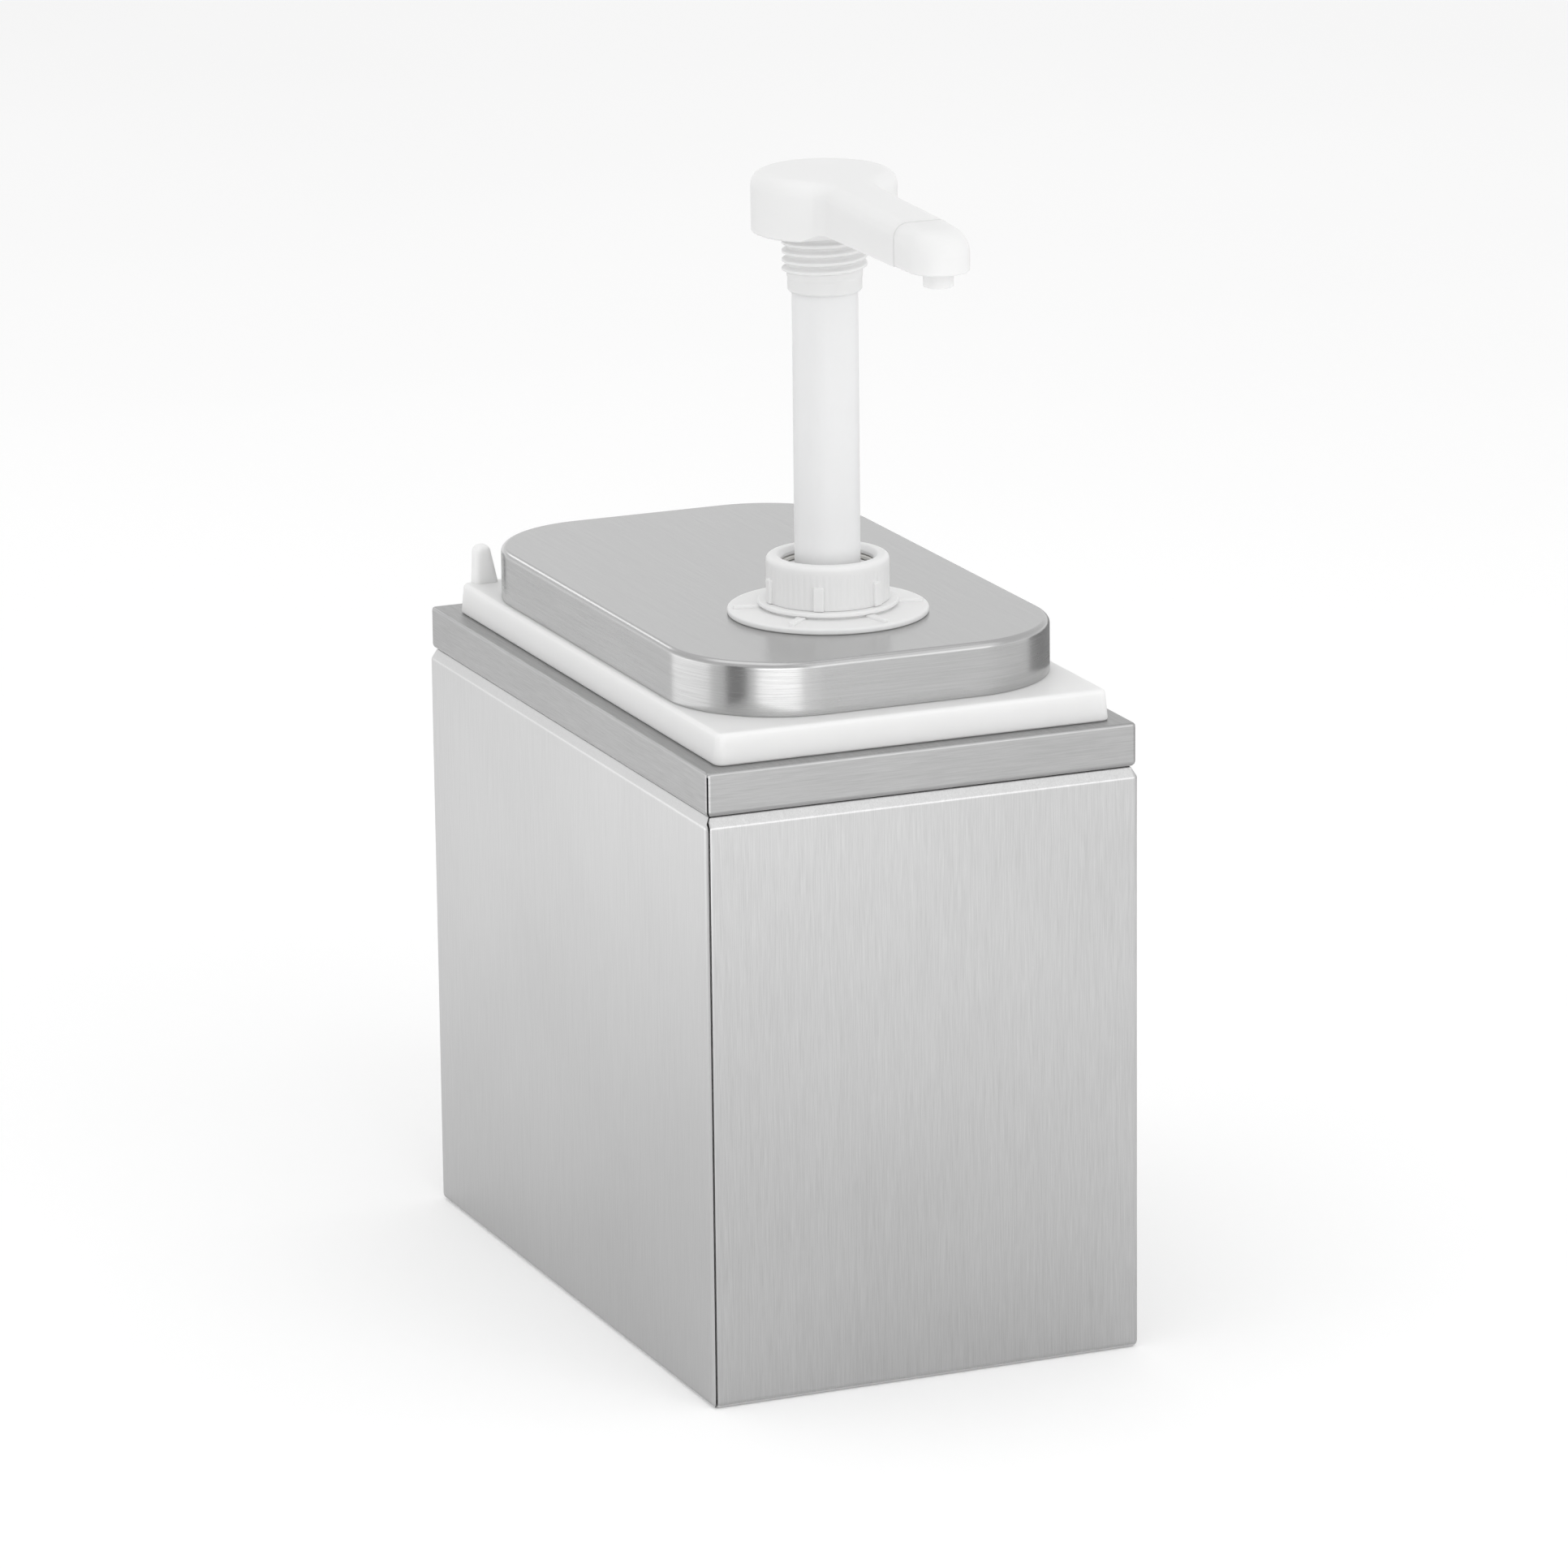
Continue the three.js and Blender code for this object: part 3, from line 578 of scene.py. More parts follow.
# Painted light: the tube plastic made paler, to lift the shade down in the barrel mouth and round
# the guide bush.
BARREL_PLASTIC_PAINTED_LIGHTER = plastic(
    "barrel_plastic_painted_lighter", (0.93, 0.93, 0.925, 1.0), roughness=0.5, depth=2.5, weight=0.4,
)
SPRING_METAL = drawn_wire("spring_metal", tone=0.55, roughness=0.2)
SEAL_RUBBER = rubber("seal_rubber", (0.78, 0.77, 0.74, 1.0))

# ---------- housing ----------
SHELL = (HALF_X, -HALF_Y, HALF_Y, 1.8)


def shell_half(name, turned_round):
    section = rounded([
        (FLANGE, 0, 0.2),
        (0, 0, 2.0),
        (0, SHELL_BEND, 1.6),
        (BEVEL_IN, SHELL_TOP, 0.7),
        (FLANGE, SHELL_TOP, 0.2),
        (FLANGE, SHELL_TOP - SHEET, 0.2),
        (BEVEL_IN + 0.36, SHELL_TOP - SHEET, 0.3),
        (SHEET, SHELL_BEND - 0.35, 0.8),
        (SHEET, SHEET, 1.2),
        (FLANGE, SHEET, 0.2),
    ], 6)
    shell = loft(name, [round_loop(SHELL, d, z, 8) for d, z in section], closed=True)
    start = -SEAM_X
    wrap = SEAM_X + SEAM_WIDTH
    far = 300
    outline = [
        (start, -far), (far, -far), (far, far), (wrap, far), (wrap, HALF_Y - 1.4),
        (wrap - 11, HALF_Y - 12.4), (start + 11, 12.2 - HALF_Y), (start, 1.2 - HALF_Y),
    ]
    boolean(shell, prism("region", outline, -20, 260), "INTERSECT")
    soften(shell, 0.14, 55)
    behind = HALF_Y - SHEET - 0.15
    root, bend = behind - SHEET, behind - 1.0
    tab = prism("tab", rounded([
        (HALF_X - 14, root, 0.3), (HALF_X - 2.6, root, 0.3), (HALF_X - 2.6, bend - SHEET, 0.5),
        (HALF_X - 0.6, bend - SHEET), (HALF_X - 0.6, bend), (HALF_X - 1.8, bend, 0.3),
        (HALF_X - 1.8, behind, 0.5), (HALF_X - 14, behind, 0.3),
    ]), SHEET + 1.5, SHELL_TOP - 4)
    boolean(shell, tab, "UNION")
    if turned_round:
        transform(shell, Matrix.Rotation(math.pi, 4, "Z"))
    return shell


place(shell_half("shell_sheet_front", False), "front_right_shell", SHELL_STEEL)
place(shell_half("shell_sheet_rear", True), "rear_left_shell", SIDE_STEEL_PAINTED_LIGHTER)


def base_pan():
    """Joggled plate: its rim lies on the shells' flanges and its middle on the table."""
    rim_in = 3.5
    plate = (HALF_X - rim_in, rim_in - HALF_Y, HALF_Y - rim_in, 3)
    pan = FLANGE - rim_in + 0.3
    rim, rim_top = SHEET + 0.1, 2 * SHEET + 0.1
    middle = pan + 5
    section = rounded([
        (0, rim, 0.2), (pan, rim, 0.3), (pan, 0, 0.7), (middle, 0),
        (middle, SHEET), (pan + SHEET, SHEET, 0.25), (pan + SHEET, rim_top, 0.7), (0, rim_top, 0.2),
    ], 4)
    split = next(i for i, point in enumerate(section) if abs(point[0] - middle) < 1e-6) + 1
    section = section[split:] + section[:split]
    return loft("base_sheet", [round_loop(plate, d, z, 4) for d, z in section])


place(base_pan(), "base_plate", SHELL_STEEL)


def collar():
    outer = (FRAME_HIGH.x, -FRAME_HIGH.y, FRAME_HIGH.y, 1.3)
    opening = (56.5, -96.5, 93.5, 24)
    low, high = FRAME_LOW.z, FRAME_HIGH.z
    bend, edge = 1.6, 0.9
    rings = [(outer, d, z) for d, z in (
        [(8.0, low + SHEET), (8.0, low)]
        + arc(bend, low, 0, low + bend, 6, "d")
        + arc(0, high - edge, edge, high, 6)
    )]
    rings += [(opening, -0.15, high), (opening, 0, high - 0.15)]
    rings += [(opening, 0, high - SHEET + 0.15), (opening, -0.15, high - SHEET)]
    rings += [(outer, d, z) for d, z in (
        [(SHEET + 0.3, high - SHEET), (SHEET, high - SHEET - 0.3)]
        + arc(SHEET, low + bend, bend, low + SHEET, 5)
    )]
    sheet = loft("collar_sheet", [round_loop(shape, d, z, 8) for shape, d, z in rings], closed=True)
    soften(sheet, 0.1, 60)
    half_slot = 0.25
    for sx, sy in ((-1, -1), (1, -1), (1, 1), (-1, 1)):
        slot = block("slot", -half_slot, half_slot, -15, 15, low - 5, high - 1.2)
        turned = Matrix.Rotation(math.radians(-45 if sx * sy > 0 else 45), 4, "Z")
        corner = shift(sx * (FRAME_HIGH.x - 0.5), sy * (FRAME_HIGH.y - 0.5), 0)
        boolean(sheet, transform(slot, corner @ turned))
    return sheet


place(collar(), "top_frame", FRAME_STEEL)


# ---------- container ----------
def tub():
    rim = (60.2, -102, 98, 3)
    mouth = (55.4, -91.4, 95, 32)
    top = (55.2, -91.2, 92, 26)
    foot = (50, -86.5, 87, 22)
    deck, ridge, skirt = 194.0, 198.5, FRAME_HIGH.z
    under = deck - 2.4
    rings = [(foot, d, z) for d, z in arc(4, 8, 0, 12, 8, "d")]
    rings += [(top, 0, under - 1.2)]
    rings += [(top, d, z) for d, z in arc(0, under - 0.8, -0.8, under, 4)]
    rings += [(rim, 3.1, under), (rim, 2.3, under - 0.8)]
    rings += [(rim, 2.3, skirt + 0.4), (rim, 1.9, skirt)]
    rings += [(rim, d, z) for d, z in arc(0.6, skirt, 0, skirt + 0.6, 5, "d")]
    rings += [(rim, d, z) for d, z in arc(0.7, deck - 1.4, 2.1, deck, 7)]
    rings += [(mouth, d, z) for d, z in arc(-0.7, deck, 0, deck + 0.7, 4, "d")]
    rings += [(mouth, d, z) for d, z in arc(0.15, ridge - 0.7, 0.85, ridge, 5)]
    rings += [(mouth, d, z) for d, z in arc(1.2, ridge, 1.9, ridge - 0.7, 5, "d")]
    rings += [(mouth, 2.0, deck - 1.0), (mouth, 2.0, deck - 1.5)]
    rings += [(top, 2.2, deck - 3.4), (top, 2.2, deck - 4)]
    rings += [(foot, d, z) for d, z in arc(2.2, 13.2, 5.2, 10.2, 6)]
    moulding = loft("tub_moulding", [round_loop(shape, d, z, 12) for shape, d, z in rings])
    lug_root, lug_top, lug_front, lug_back = deck - 1.6, 205.5, 92.5, 97.5
    for side in (-1, 1):
        outline = rounded([
            (56.8, lug_root), (56.2, lug_top, 2.2), (51.8, lug_top, 2.0), (48.8, lug_root),
        ], 6)
        lug = prism("lug", [(side * x, z) for x, z in outline], lug_front, lug_back, "y")
        soften(lug, 1.5, 40, 4)
        boolean(moulding, lug, "UNION")
    return moulding


place(tub(), "container", TUB_PLASTIC, 40)


# ---------- lid ----------
def lid_cover():
    shape = (LID_HIGH.x, LID_LOW.y, LID_HIGH.y, LID_CORNER_R)
    low, high, edge = LID_LOW.z, LID_HIGH.z, 1.9
    section = arc(SHEET, high - edge, edge, high - SHEET, 8)[::-1]
    section += [(SHEET, low + 0.3), (SHEET - 0.15, low + 0.06), (SHEET - 0.3, low)]
    section += [(0.3, low), (0.12, low + 0.06)]
    section += [(0, low + 0.3)] + arc(0, high - edge, edge, high, 12)
    cover = loft("lid_cover", [round_loop(shape, d, z, 28) for d, z in section])
    return boolean(cover, cylinder("hole", PUMP_HOLE_R, high - 6, high + 6))


place(lid_cover(), "lid", LID_STEEL)


# ---------- pump: fixed pieces ----------
def smooth(value, low, high):
    """0 up to the low value, 1 from the high one, and a soft step between them."""
    t = min(max((value - low) / (high - low), 0), 1)
    return t * t * (3 - 2 * t)


def thread(start, pitch, turns, height, crest, foot, wall):
    """Height of a screw tooth at an angle and level, on the wall of one radius.

    It has a flat crest, sloping flanks and faded ends. Crest and foot are its half widths."""
    def at(angle, r, z):
        if abs(r - wall) > 0.01:
            return 0
        turn_at = (z - start) / pitch - angle / TAU
        index = round(turn_at)
        along = index + angle / TAU
        if not 0 <= along <= turns:
            return 0
        off = abs(turn_at - index) * pitch
        shape = smooth(foot - off, 0, foot - crest)
        return height * shape * min(along / 0.12, (turns - along) / 0.12, 1)
    return at


def levels(r, low, high, step=0.22):
    """Points up a straight wall, close enough together to carry a thread."""
    count = max(int((high - low) / step), 1)
    return [(r, low + (high - low) * k / count) for k in range(count + 1)]


def with_wall(profile, r, below, wall):
    """A profile with a wall's points put in after its last point of that radius below a level."""
    last = max(i for i, (at, z) in enumerate(profile) if abs(at - r) < 0.01 and z < below)
    return profile[:last + 1] + wall + profile[last + 1:]


def neck_flange():
    base = LID_HIGH.z
    profile = rounded([
        (NECK_BORE_R, NECK_TOP, 0.3), (NECK_BORE_R, SPIGOT_LOW, 0.3),
        (SPIGOT_OUT_R, SPIGOT_LOW, 0.4), (SPIGOT_OUT_R, base, 0.2),
        (DISC_R, base, 0.5), (DISC_R, base + 1.7, 0.7), (19.0, base + 2.2, 0.2),
        (19.0, base + 2.8, 0.1), (RAISED_R, base + 2.9, 0.25), (RAISED_R, base + 4.05, 0.35),
        (NECK_R, base + 4.05, 0.3), (NECK_R, NECK_TOP, 0.4),
    ], 4)
    wall = levels(NECK_R, base + 4.5, NECK_TOP - 0.6)[1:]
    tooth = thread(base + 4.8, CAP_PITCH, 1.4, 0.8, 0.3, 0.8, NECK_R)
    flange = turn("neck_flange", with_wall(profile, NECK_R, base + 5, wall), 160, tooth)
    plan = [(18.6, -1.5), (27.0, -0.75), (27.4, 0), (27.0, 0.75), (18.6, 1.5)]
    for k in range(6):
        rib = soften(prism("rib", plan, 0, 1.25), 0.3, 40, 2)
        transform(rib, shift(0, PUMP_Y, base + 1.55))
        transform(rib, about_pump(60 * k - 76))
        boolean(flange, rib, "UNION")
    return flange


place(neck_flange(), "pump_flange", PUMP_PLASTIC)
gasket = turn("gasket_ring", wall_section(NUT_BORE_R, GASKET_R, GASKET_LOW, GASKET_HIGH, 0.4))
place(gasket, "flange_gasket", SEAL_RUBBER)


def hex_nut():
    low, high = (corner.z for corner in extent("lock_nut"))
    angles = [TAU * k / 6 for k in range(6)]
    hexagon = [(NUT_R * math.sin(a), PUMP_Y + NUT_R * math.cos(a)) for a in angles]
    nut = prism("hex_nut", hexagon, low, high)
    flat_r, rim_r, chamfer = 21.0, 22.7, 1.2
    rim = rounded([
        (0, low), (flat_r, low), (rim_r, low + chamfer), (rim_r, high - chamfer), (flat_r, high),
        (0, high),
    ])
    boolean(nut, turn("rim", rim, 96), "INTERSECT")
    boolean(nut, cylinder("bore", NUT_BORE_R, low - 2, high + 2))
    return soften(nut, 0.35, 40)


place(hex_nut(), "lock_nut", PUMP_PLASTIC)


def barrel():
    """Cylinder with its clamp flange and lock-down thread above, ball seat and socket below."""
    shank_r, socket_r, seat_r = 13.3, 6.2, 3
    profile = rounded([
        (CLAMP_R, BARREL_MOUTH, 0.3), (CLAMP_R, NECK_TOP, 0.2), (shank_r, NECK_TOP, 0.2),
        (shank_r, 196, 0.4), (BARREL_R, 195, 0.4), (BARREL_R, 84, 2.0), (8.4, 78, 1.5),
        (8, 58, 0.4), (socket_r, 58, 0.3), (socket_r, 67, 0.2), (seat_r, 67, 0.2),
        (seat_r, 69.5, 0.3), (5.3, 69.5, 0.3), (5.3, 80, 0.2), (7.3, 80, 0.2), (7.3, 82, 0.2),
        (BORE_R, 82, 0.3), (BORE_R, BARREL_MOUTH, 0.3),
    ], 4)
    wall = [(BORE_R, 100.0), (BORE_R, 150.0)] + levels(BORE_R, 212.6, BARREL_MOUTH - 0.6)
    groove = thread(213.6, LOCK_PITCH, 3.6, 1.1, 0.35, 0.95, BORE_R)
    return turn("barrel_tube", with_wall(profile, BORE_R, 100, wall), 128, groove)


place(barrel(), "pump_barrel", BARREL_PLASTIC_PAINTED_LIGHTER)


def screw_cap():
    low, top = CAP_LOW.z, CAP_HIGH.z
    profile = rounded([
        (CAP_BORE_R, low, 0.15), (CAP_R, low, 0.15), (CAP_R, top, 2.1),
        (CAP_MOUTH_R + 1.2, top, 0.7), (CAP_MOUTH_R, top - 1.4, 0.5),
        (CAP_MOUTH_R, CAP_CEILING, 0.2), (CAP_BORE_R, CAP_CEILING, 0.3),
    ], 6)
    profile = with_wall(profile, CAP_R, low + 2, levels(CAP_R, low + 0.6, top - 2.4, 0.6))
    profile += reversed(levels(CAP_BORE_R, low + 0.5, CAP_CEILING - 0.5))
    tooth = thread(low + 2.45, CAP_PITCH, 1.4, -1.2, 0.3, 0.7, CAP_BORE_R)
    groove_depth = 0.15

    def bump(angle, r, z):
        """Fine upright grooves outside, fading at both ends, and the thread inside."""
        if r > CAP_R - 0.01:
            fade = min(max((top - 2.2 - z) / 1.4, 0), 1) * min(max((z - low - 0.3) / 0.6, 0), 1)
            land = abs(math.cos(angle * CAP_GROOVES / 2 + 0.6))
            return -groove_depth * fade * (1 - land) ** 1.5
        return tooth(angle, r, z)

    cap = turn("cap_moulding", profile, 480, bump)
    half, foot, head = 1.5, low + 0.02, low + 7
    front = rounded([(-half, foot), (half, foot), (half, head, 0.6), (-half, head, 0.6)], 4)
    for k in range(CAP_GRIPS):
        grip = soften(prism("grip", front, CAP_R - 0.8, CAP_R + 0.88, "x"), 0.3, 40, 2)
        transform(grip, shift(0, PUMP_Y, 0))
        transform(grip, about_pump(360 / CAP_GRIPS * k - 61.5))
        boolean(cap, grip, "UNION")
    return cap


place(screw_cap(), "screw_cap", PUMP_PLASTIC)


def ring(name, node, inner, outer, material, edge=0.3, sides=96):
    """Plain turned ring over the height of its CAD node."""
    low, high = extent(node)
    section = wall_section(inner, outer, low.z, high.z, edge)
    return place(turn(name, section, sides), node, material)


ring("seal_washer", "cap_seal", 12.6, CLAMP_R, SEAL_RUBBER)
ring("guide_bush", "stem_guide", 9.8, BORE_R - 0.25, BARREL_PLASTIC_PAINTED_LIGHTER)
ring("spring_washer", "spring_seat", 6.5, 10.7, PUMP_PLASTIC)


def cage(name, low, rim):
    """Stop over a valve ball, a disc with three holes."""
    high = low + 1.4
    made = turn(name, rounded([(0, low), (rim, low, 0.25), (rim, high, 0.25), (0, high)]), 64)
    hole_at, hole_r = 2.9, 1.5
    for k in range(3):
        angle = TAU * k / 3
        x, y = hole_at * math.cos(angle), PUMP_Y + hole_at * math.sin(angle)
        boolean(made, prism("hole", circle(x, y, hole_r, 24), low - 2, low + 4))
    return made


def ball(name, node):
    low, high = (corner.z for corner in extent(node))
    r, middle = (high - low) / 2, (high + low) / 2
    steps = 32
    angles = [math.pi * k / steps for k in range(steps + 1)]
    profile = [(r * math.sin(a), middle - r * math.cos(a)) for a in angles]
    profile[0], profile[-1] = (0, low), (0, high)
    return place(turn(name, profile, 64), node, SPRING_METAL)


place(cage("inlet_stop", 80.25, 7.1), "inlet_ball_cage", PUMP_PLASTIC)
place(cage("outlet_stop", 194.9, 5.0), "outlet_ball_cage", PUMP_PLASTIC)
ball("inlet_valve_ball", "inlet_ball")
ball("outlet_valve_ball", "outlet_ball")


def dip_pipe():
    """Tube with a slanting cut across its foot."""
    inner, outer, foot, top = 4.6, 6, 12, extent("dip_tube")[1].z
    section = rounded([
        (inner, foot, 0.2), (outer, foot, 0.2), (outer, top, 0.4), (inner, top, 0.3),
    ])
    pipe = turn("dip_pipe", section, 64)
    knife = block("knife", -20, 20, -20, 20, -20, 0)
    transform(knife, shift(0, PUMP_Y, 16.5) @ Matrix.Rotation(math.radians(28), 4, "X"))
    return soften(boolean(pipe, knife), 0.15, 50)


place(dip_pipe(), "dip_tube", TUBE_PLASTIC)


def coil():
    wire, mean, turns, around, sides = 0.6, 9.2, 9, 40, 12
    low, high = SPRING_LOW.z, SPRING_HIGH.z
    loops = []
    for i in range(turns * around + 1):
        t = i / (turns * around)
        rise = 0.25 * smooth(t - 0.02, 0, 0.96) + 0.75 * t
        z = low + wire + (high - low - 2 * wire) * rise
        angle = TAU * turns * t
        loops.append([
            (r * math.cos(angle), PUMP_Y + r * math.sin(angle), z + up)
            for r, up in circle(mean, 0, wire, sides)
        ])
    return loft("spring_coil", loops)


spring = place(coil(), "return_spring", SPRING_METAL)
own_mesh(spring)

# ---------- pump: moving pieces ----------
PISTON_R = 10.9
PISTON_BORE_R = 3

place(turn("piston_body", rounded([
    (PISTON_BORE_R, 180, 0.2), (PISTON_R, 180, 0.5), (PISTON_R, 183.5, 0.2), (9.4, 183.5, 0.2),
    (9.4, 187.9, 0.2), (PISTON_R, 187.9, 0.2), (PISTON_R, 192, 0.5), (7.7, 192, 0.2),
    (7.7, 202, 0.4), (5.2, 202, 0.2), (5.2, 184, 0.3), (PISTON_BORE_R, 184, 0.2),
])), "piston", PUMP_PLASTIC)
place(turn("piston_ring", rounded([
    (9.6, 183.8, 0.2), (10.6, 183.8, 0.3), (11.1, 184.8, 0.3), (10.8, 185.7, 0.2),
    (11.1, 186.6, 0.3), (10.6, 187.6, 0.3), (9.6, 187.6, 0.2),
])), "piston_seal", SEAL_RUBBER)
ring("stem_pipe", "stem_tube", 7.9, STEM_R, TUBE_PLASTIC, 0.3, 128)


def droop(y):
    """How far the top of the arm lies below the top of the press pad."""
    ahead = PUMP_Y - y
    return 1.3 * smooth(ahead, 8, 30) + 0.031 * max(ahead - 28, 0)


def mirrored(right):
    """Outline from its right half, which runs between crossings of x = 0 or mirrored ends."""
    return right + [(-x, y) for x, y in reversed(right) if abs(x) > 1e-6]


def head_outline(inset):
    """Plan outline of the press pad and its arm, drawn in: arm, concave fillet and disc."""
    pad = PAD_R - inset
    half = ARM_HALF - inset
    fillet = 6 + inset
    side = half + fillet
    front = -math.sqrt((pad + fillet) ** 2 - side**2)
    touch = math.atan2(side, -front)
    swing = math.pi / 2 - touch
    end = ARM_END - PUMP_Y - 9
    right = [(half, end + (front - end) * k / 8) for k in range(8)]
    for k in range(12, 0, -1):
        angle = touch + swing * k / 12
        right.append((side - fillet * math.sin(angle), front + fillet * math.cos(angle)))
    for k in range(49):
        angle = touch + k / 48 * (math.pi - touch)
        right.append((pad * math.sin(angle) if k < 48 else 0.0, -pad * math.cos(angle)))
    return [(x, PUMP_Y + y) for x, y in mirrored(right)]


def foot_loops(outline, bottom):
    """Loops that round the lower edge of a moulding over its outline."""
    edge = arc(0.8, bottom, 0, bottom + 0.8, 4, "d")
    return [[(x, y, z) for x, y in outline(d)] for d, z in edge]


def sleeve():
    """Sleeve round the stem under the pad, with the lock-down thread."""
    low = HEAD_LOW.z
    step_r, step_top = 10.6, 306.6
    profile = rounded([
        (SLEEVE_BORE_R, low, 0.1), (10.1, low, 0.1), (step_r, low + 0.6, 0.3),
        (step_r, step_top, 0.3), (SLEEVE_R, step_top + 0.8, 0.3), (SLEEVE_R, SLEEVE_TOP),
        (SLEEVE_BORE_R, SLEEVE_TOP),
    ], 3)
    wall = levels(SLEEVE_R, 307.6, 320.0, 0.16)
    tooth = thread(308.1, LOCK_PITCH, 4.8, 1.32, 0.25, 1.0, SLEEVE_R)
    return turn("sleeve", with_wall(profile, SLEEVE_R, 310, wall), 128, tooth)


def head_moulding():
    loops = foot_loops(head_outline, PAD_BOTTOM)
    for d, z in arc(0, HEAD_TOP - HEAD_EDGE, HEAD_EDGE, HEAD_TOP, 12):
        loops.append([(x, y, z - droop(y)) for x, y in head_outline(d)])
    head = loft("head_moulding", loops, bands=True)
    under = rounded([
        (PUMP_Y - 11, PAD_BOTTOM - 3), (PUMP_Y - 12.5, PAD_BOTTOM, 1.5),
        (PUMP_Y - 14.6, PAD_BOTTOM, 3), (PUMP_Y - 18.8, ARM_BOTTOM, 5),
        (-150, ARM_BOTTOM), (-150, PAD_BOTTOM - 3),
    ], 8)
    boolean(head, prism("under", under, -30, 30, "x"))
    soften(head, 0.5, 50, 3)
    boolean(head, block("beyond", -20, 20, ARM_END - 20, ARM_END, 300, 350))
    boolean(head, sleeve(), "UNION")
    boolean(head, rod_y("spigot", SPIGOT_R, ARM_END - 7, ARM_END + 2, CHANNEL_Z), "UNION")
    boolean(head, cylinder("bore", SLEEVE_BORE_R, HEAD_LOW.z - 2, 326, 128))
    boolean(head, rod_y("channel", CHANNEL_R, ARM_END - 9, PUMP_Y, CHANNEL_Z))
    return head


place(head_moulding(), "pump_head", PUMP_PLASTIC, 38)


def tip_outline(inset, pull=0):
    """Plan outline of the tip: straight sides and a round end, pulled back from the front."""
    half = ARM_HALF - inset
    front = NOZZLE_Y + pull
    right = [(half, ARM_END + 9), (half, ARM_END)]
    right += [(half, ARM_END + (front - ARM_END) * k / 4) for k in range(1, 4)]
    for k in range(25):
        angle = k / 24 * math.pi / 2
        right.append((half * math.cos(angle) if k < 24 else 0.0, front - half * math.sin(angle)))
    return mirrored(right)


def tip_moulding():
    loops = foot_loops(tip_outline, ARM_BOTTOM)
    for k in range(17):
        out, up = math.cos(k / 16 * TAU / 4), math.sin(k / 16 * TAU / 4)
        loops.append([
            (x, y, HEAD_TOP - 0.1 - droop(y)
             - (HEAD_EDGE + 2.4 * smooth(ARM_END - y, 0, 13)) * (1 - up))
            for x, y in tip_outline(HEAD_EDGE * (1 - out), 3.4 * (1 - out))
        ])
    tip = loft("tip_moulding", loops, bands=True)
    end = ARM_END - 0.07
    boolean(tip, block("behind", -20, 20, end, end + 30, 300, 350))
    soften(tip, 0.12, 60, 2)
    low = TIP_LOW.z
    to_nozzle = shift(0, NOZZLE_Y - PUMP_Y, 0)
    outline = rounded([
        (0, low), (NOZZLE_R, low, 0.3), (NOZZLE_R, ARM_BOTTOM + 2), (0, ARM_BOTTOM + 2),
    ])
    boolean(tip, transform(turn("nozzle", outline, 64), to_nozzle), "UNION")
    boolean(tip, rod_y("socket", SPIGOT_R + 0.3, end - 7.5, end + 2, CHANNEL_Z))
    boolean(tip, rod_y("channel", CHANNEL_R, NOZZLE_Y, end, CHANNEL_Z))
    bore = cylinder("bore", NOZZLE_BORE_R, low - 2, CHANNEL_Z + 1.5, 64)
    boolean(tip, transform(bore, to_nozzle))
    return tip


place(tip_moulding(), "spout_tip", PUMP_PLASTIC, 38)


# ---------- floor, light and camera ----------
def rectangle(name, half_width, half_height):
    """Flat rectangle about the origin."""
    w, h = half_width, half_height
    return make(name, [(-w, -h, 0), (w, -h, 0), (w, h, 0), (-w, h, 0)], [(0, 1, 2, 3)])


def floor():
    ground = rectangle("floor", 6000, 6000)
    look = Look("floor_paint")
    patch = look.span(look.noise(1.5, 2, 0.5), 0.0, 1.0)
    pale = look.mix(patch, (0.94, 0.94, 0.94, 1), (0.96, 0.96, 0.96, 1), "RGBA")
    look.wire(pale, "Base Color")
    look.fill("Roughness", 0.9)
    look.fill("Specular IOR Level", 0.1)
    look.fill("Emission Color", (1, 1, 1, 1))
    look.fill("Emission Strength", 0.1)
    ground.data.materials.append(look.material)


def panel_matrix(location, target):
    aim = Vector(target) - Vector(location)
    return Matrix.Translation(Vector(location)) @ aim.to_track_quat("-Z", "Y").to_matrix().to_4x4()


def softbox(name, location, target, width, height, radiance, seen="both"):
    """Rectangular light of an even brightness, in metres.

    It is seen by diffuse faces, by glossy ones or by both, but not by the camera."""
    light = bpy.data.lights.new(name, "AREA")
    light.shape = "RECTANGLE"
    light.size = width
    light.size_y = height
    light.energy = radiance * math.pi * width * height
    lamp = bpy.data.objects.new(name, light)
    lamp.matrix_world = panel_matrix(location, target)
    lamp.visible_camera = False
    lamp.visible_diffuse = seen != "gloss"
    lamp.visible_glossy = seen != "diffuse"
    bpy.context.scene.collection.objects.link(lamp)


def flag(name, location, target, width, height, paint):
    """Card in metres that only shows in reflections."""
    card = rectangle(name, width / 2 / MM, height / 2 / MM)
    card.matrix_world = panel_matrix(location, target)
    look = Look(name + "_paint")
    look.wire(paint(look), "Base Color")
    look.fill("Roughness", 1)
    look.fill("Specular IOR Level", 0)
    card.data.materials.append(look.material)
    card.visible_camera = card.visible_diffuse = False
    card.visible_shadow = card.visible_transmission = False


def grey_paint(tone):
    return lambda look: look.span(look.noise(3.0), tone * 0.95, tone * 1.05)


def painted_floor_shadow(look):
    """Painted shadow: darker round the foot of the object, standing in for a wide soft shadow on
    the floor.
    """
    centre = (0.15, -0.14, 0.0)
    level = look.vector("MULTIPLY", look.vector("SUBTRACT", look.coords, centre), (1.0, 1.0, 0.0))
    away = look.node("VectorMath", operation="LENGTH")
    look.link(level, away.inputs[0])
    return look.span(away.outputs["Value"], 0.70, 0.90, 0.2, 0.66)


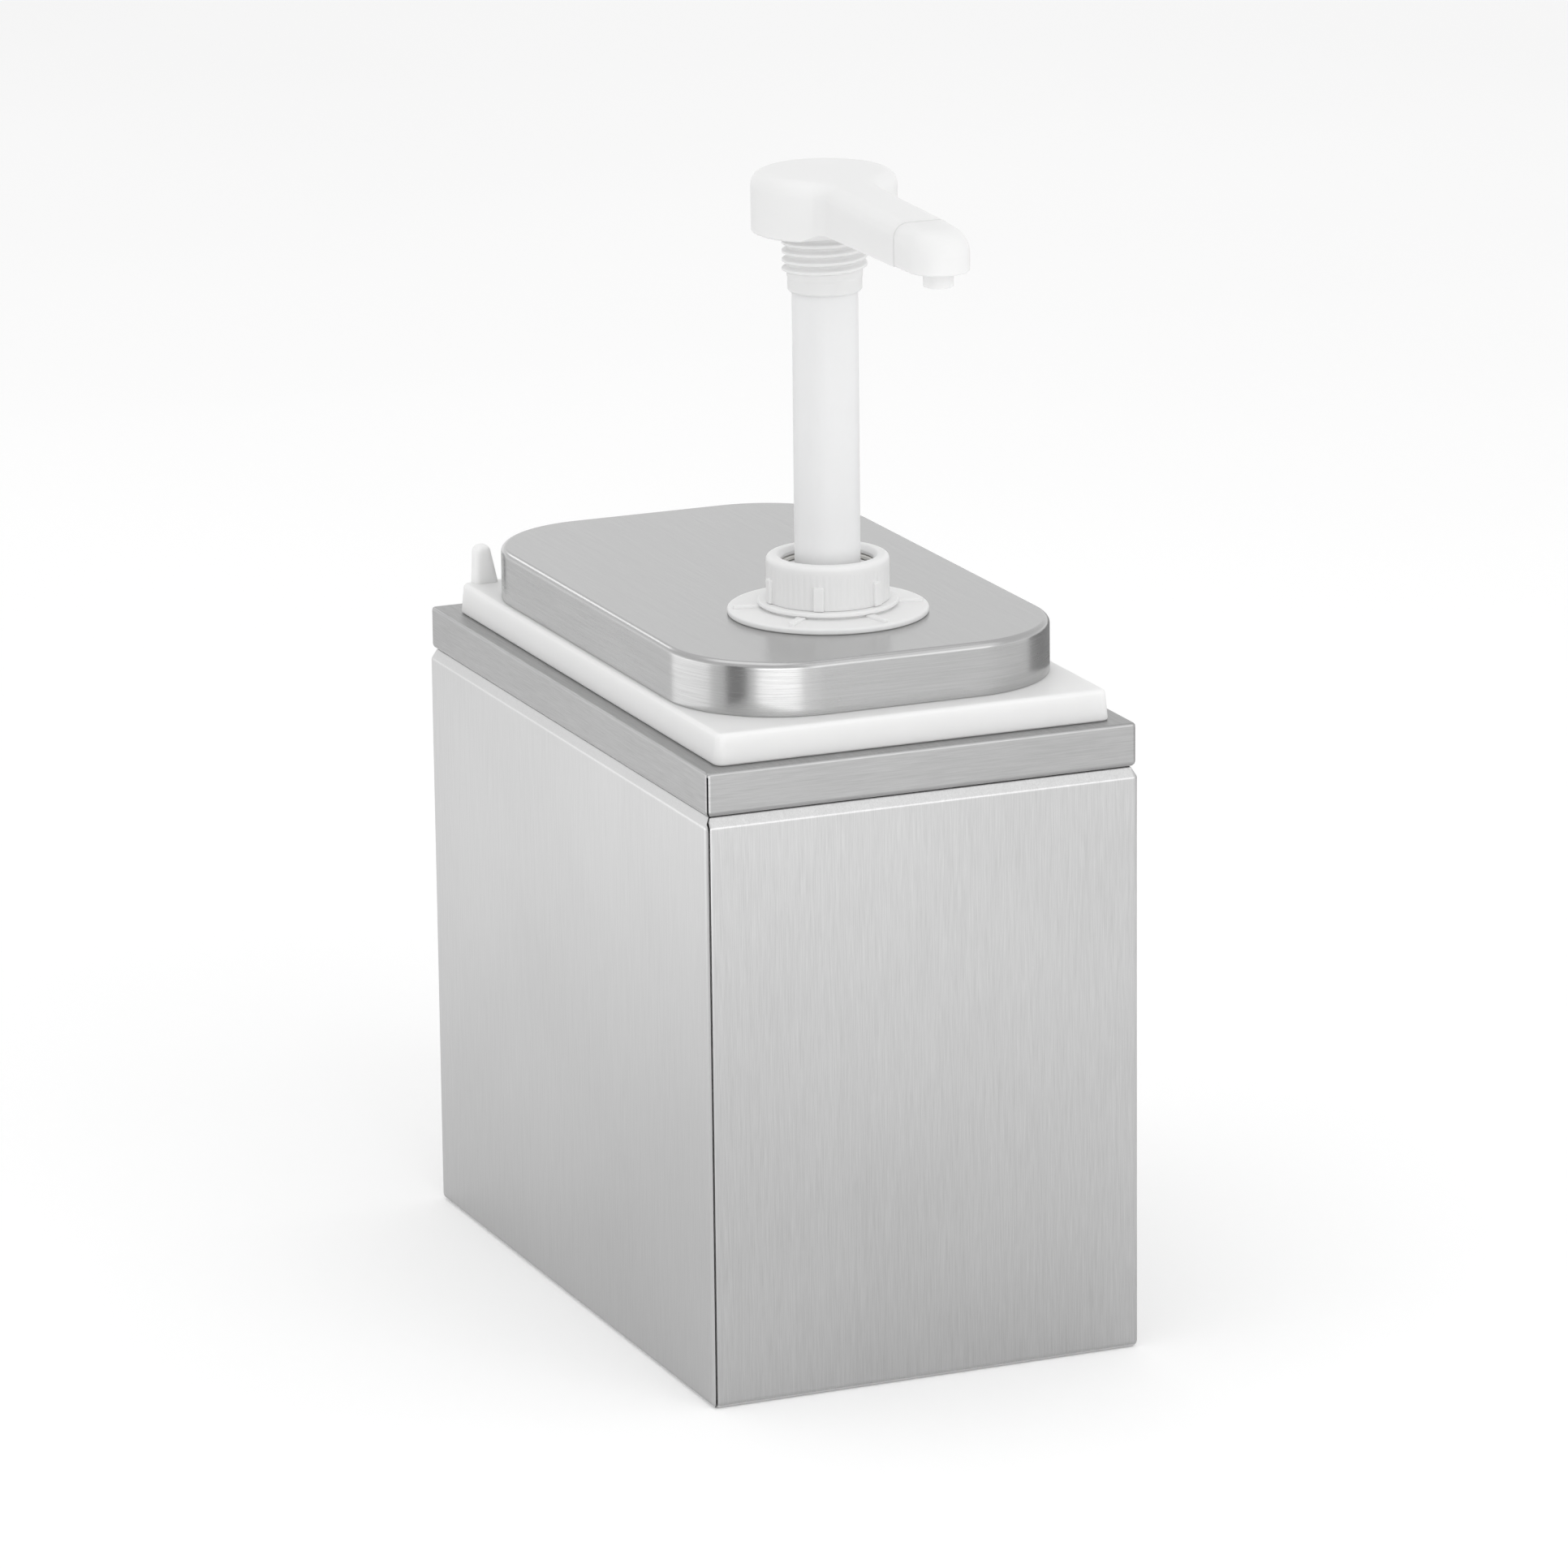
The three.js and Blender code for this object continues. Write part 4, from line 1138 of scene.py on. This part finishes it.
def sky():
    """White world that is brightest at the horizon."""
    world = bpy.data.worlds.new("studio")
    bpy.context.scene.world = world
    world.use_nodes = True
    nodes, links = world.node_tree.nodes, world.node_tree.links
    parts = nodes.new("ShaderNodeSeparateXYZ")
    links.new(nodes.new("ShaderNodeTexCoord").outputs["Generated"], parts.inputs["Vector"])
    fade = nodes.new("ShaderNodeMapRange")
    for key, number in (("From Min", 0.0), ("From Max", 0.35), ("To Min", 1.18), ("To Max", 0.8)):
        fade.inputs[key].default_value = number
    links.new(parts.outputs["Z"], fade.inputs["Value"])
    links.new(fade.outputs["Result"], nodes["Background"].inputs["Strength"])
    nodes["Background"].inputs["Color"].default_value = (1, 1, 1, 1)


def studio():
    """Lights by name, place, aim, width, height and brightness, and the cards between them."""
    sky()
    for light in (
        ("key", (0.2, -1.5, 1.2), (0, 0, 0.2), 1.5, 1.5, 0.9, "diffuse"),
        ("high_front", (0.75, -1.3, 1.7), (0, 0, 0.15), 1.5, 1.5, 0.38, "gloss"),
        ("low_front", (0.62, -1.5, 0.58), (0, 0, 0.2), 0.9, 0.65, 0.85, "gloss"),
        ("top", (-0.2, 0.3, 2.2), (0, 0, 0.1), 1.8, 1.8, 0.6, "both"),
        ("edge", (-0.19, 1.44, 0.85), (0, 0, 0.2), 0.36, 0.2, 1.7, "gloss"),
        ("left_back", (-0.535, 0.177, 0.16), (-0.104, -0.079, 0.16), 0.56, 0.32, 0.63, "gloss"),
        ("left_front", (-0.2785, -0.6796, 0.16), (-0.0055, 0.0024, 0.16), 0.507, 0.36, 1.4,
         "gloss"),
        ("left_front_soft", (0.1023, -0.832, 0.16), (0.3753, -0.15, 0.16), 0.313, 0.36, 0.26,
         "gloss"),
    ):
        softbox(*light)
    for card in (
        ("flag_left", (-0.483, -0.302, 0.2), (0, -0.03, 0.2), 0.19, 0.4, grey_paint(0.22)),
        ("flag_right", (0.53, 0.28, 0.12), (0, 0, 0.12), 0.94, 0.24, grey_paint(0.3)),
        ("flag_back", (-0.12, 0.59, 0.07), (-0.054, 0.093, 0.2), 0.06, 0.3, grey_paint(0.04)),
        ("flag_floor", (0, 0, 0.001), (0, 0, 1), 2.4, 2.4, painted_floor_shadow),
    ):
        flag(*card)


def camera():
    """Long lens from the front left, a little above, aimed beside the middle of the object."""
    azimuth, elevation, roll = (math.radians(a) for a in (-22.81, 14.99, -0.65))
    distance, focal_length, sensor = 2.4816, 194.9, 36
    aim_height, aim_right, aim_up = 0.10154, 0.00264, 0.04549
    ahead = math.cos(elevation)
    back = Vector((math.sin(azimuth) * ahead, -math.cos(azimuth) * ahead, math.sin(elevation)))
    right = Vector((math.cos(azimuth), math.sin(azimuth), 0))
    up = back.cross(right)
    target = Vector((0, 0, aim_height)) + right * aim_right + up * aim_up
    data = bpy.data.cameras.new("camera")
    data.sensor_width = sensor
    data.lens = focal_length
    data.clip_end = 50
    holder = bpy.data.objects.new("camera", data)
    across = right * math.cos(roll) + up * math.sin(roll)
    along = up * math.cos(roll) - right * math.sin(roll)
    turned = Matrix((across, along, back)).transposed().to_4x4()
    holder.matrix_world = Matrix.Translation(target + back * distance) @ turned
    bpy.context.scene.collection.objects.link(holder)
    bpy.context.scene.camera = holder


floor()
studio()
camera()
bpy.context.scene.view_settings.view_transform = "Standard"
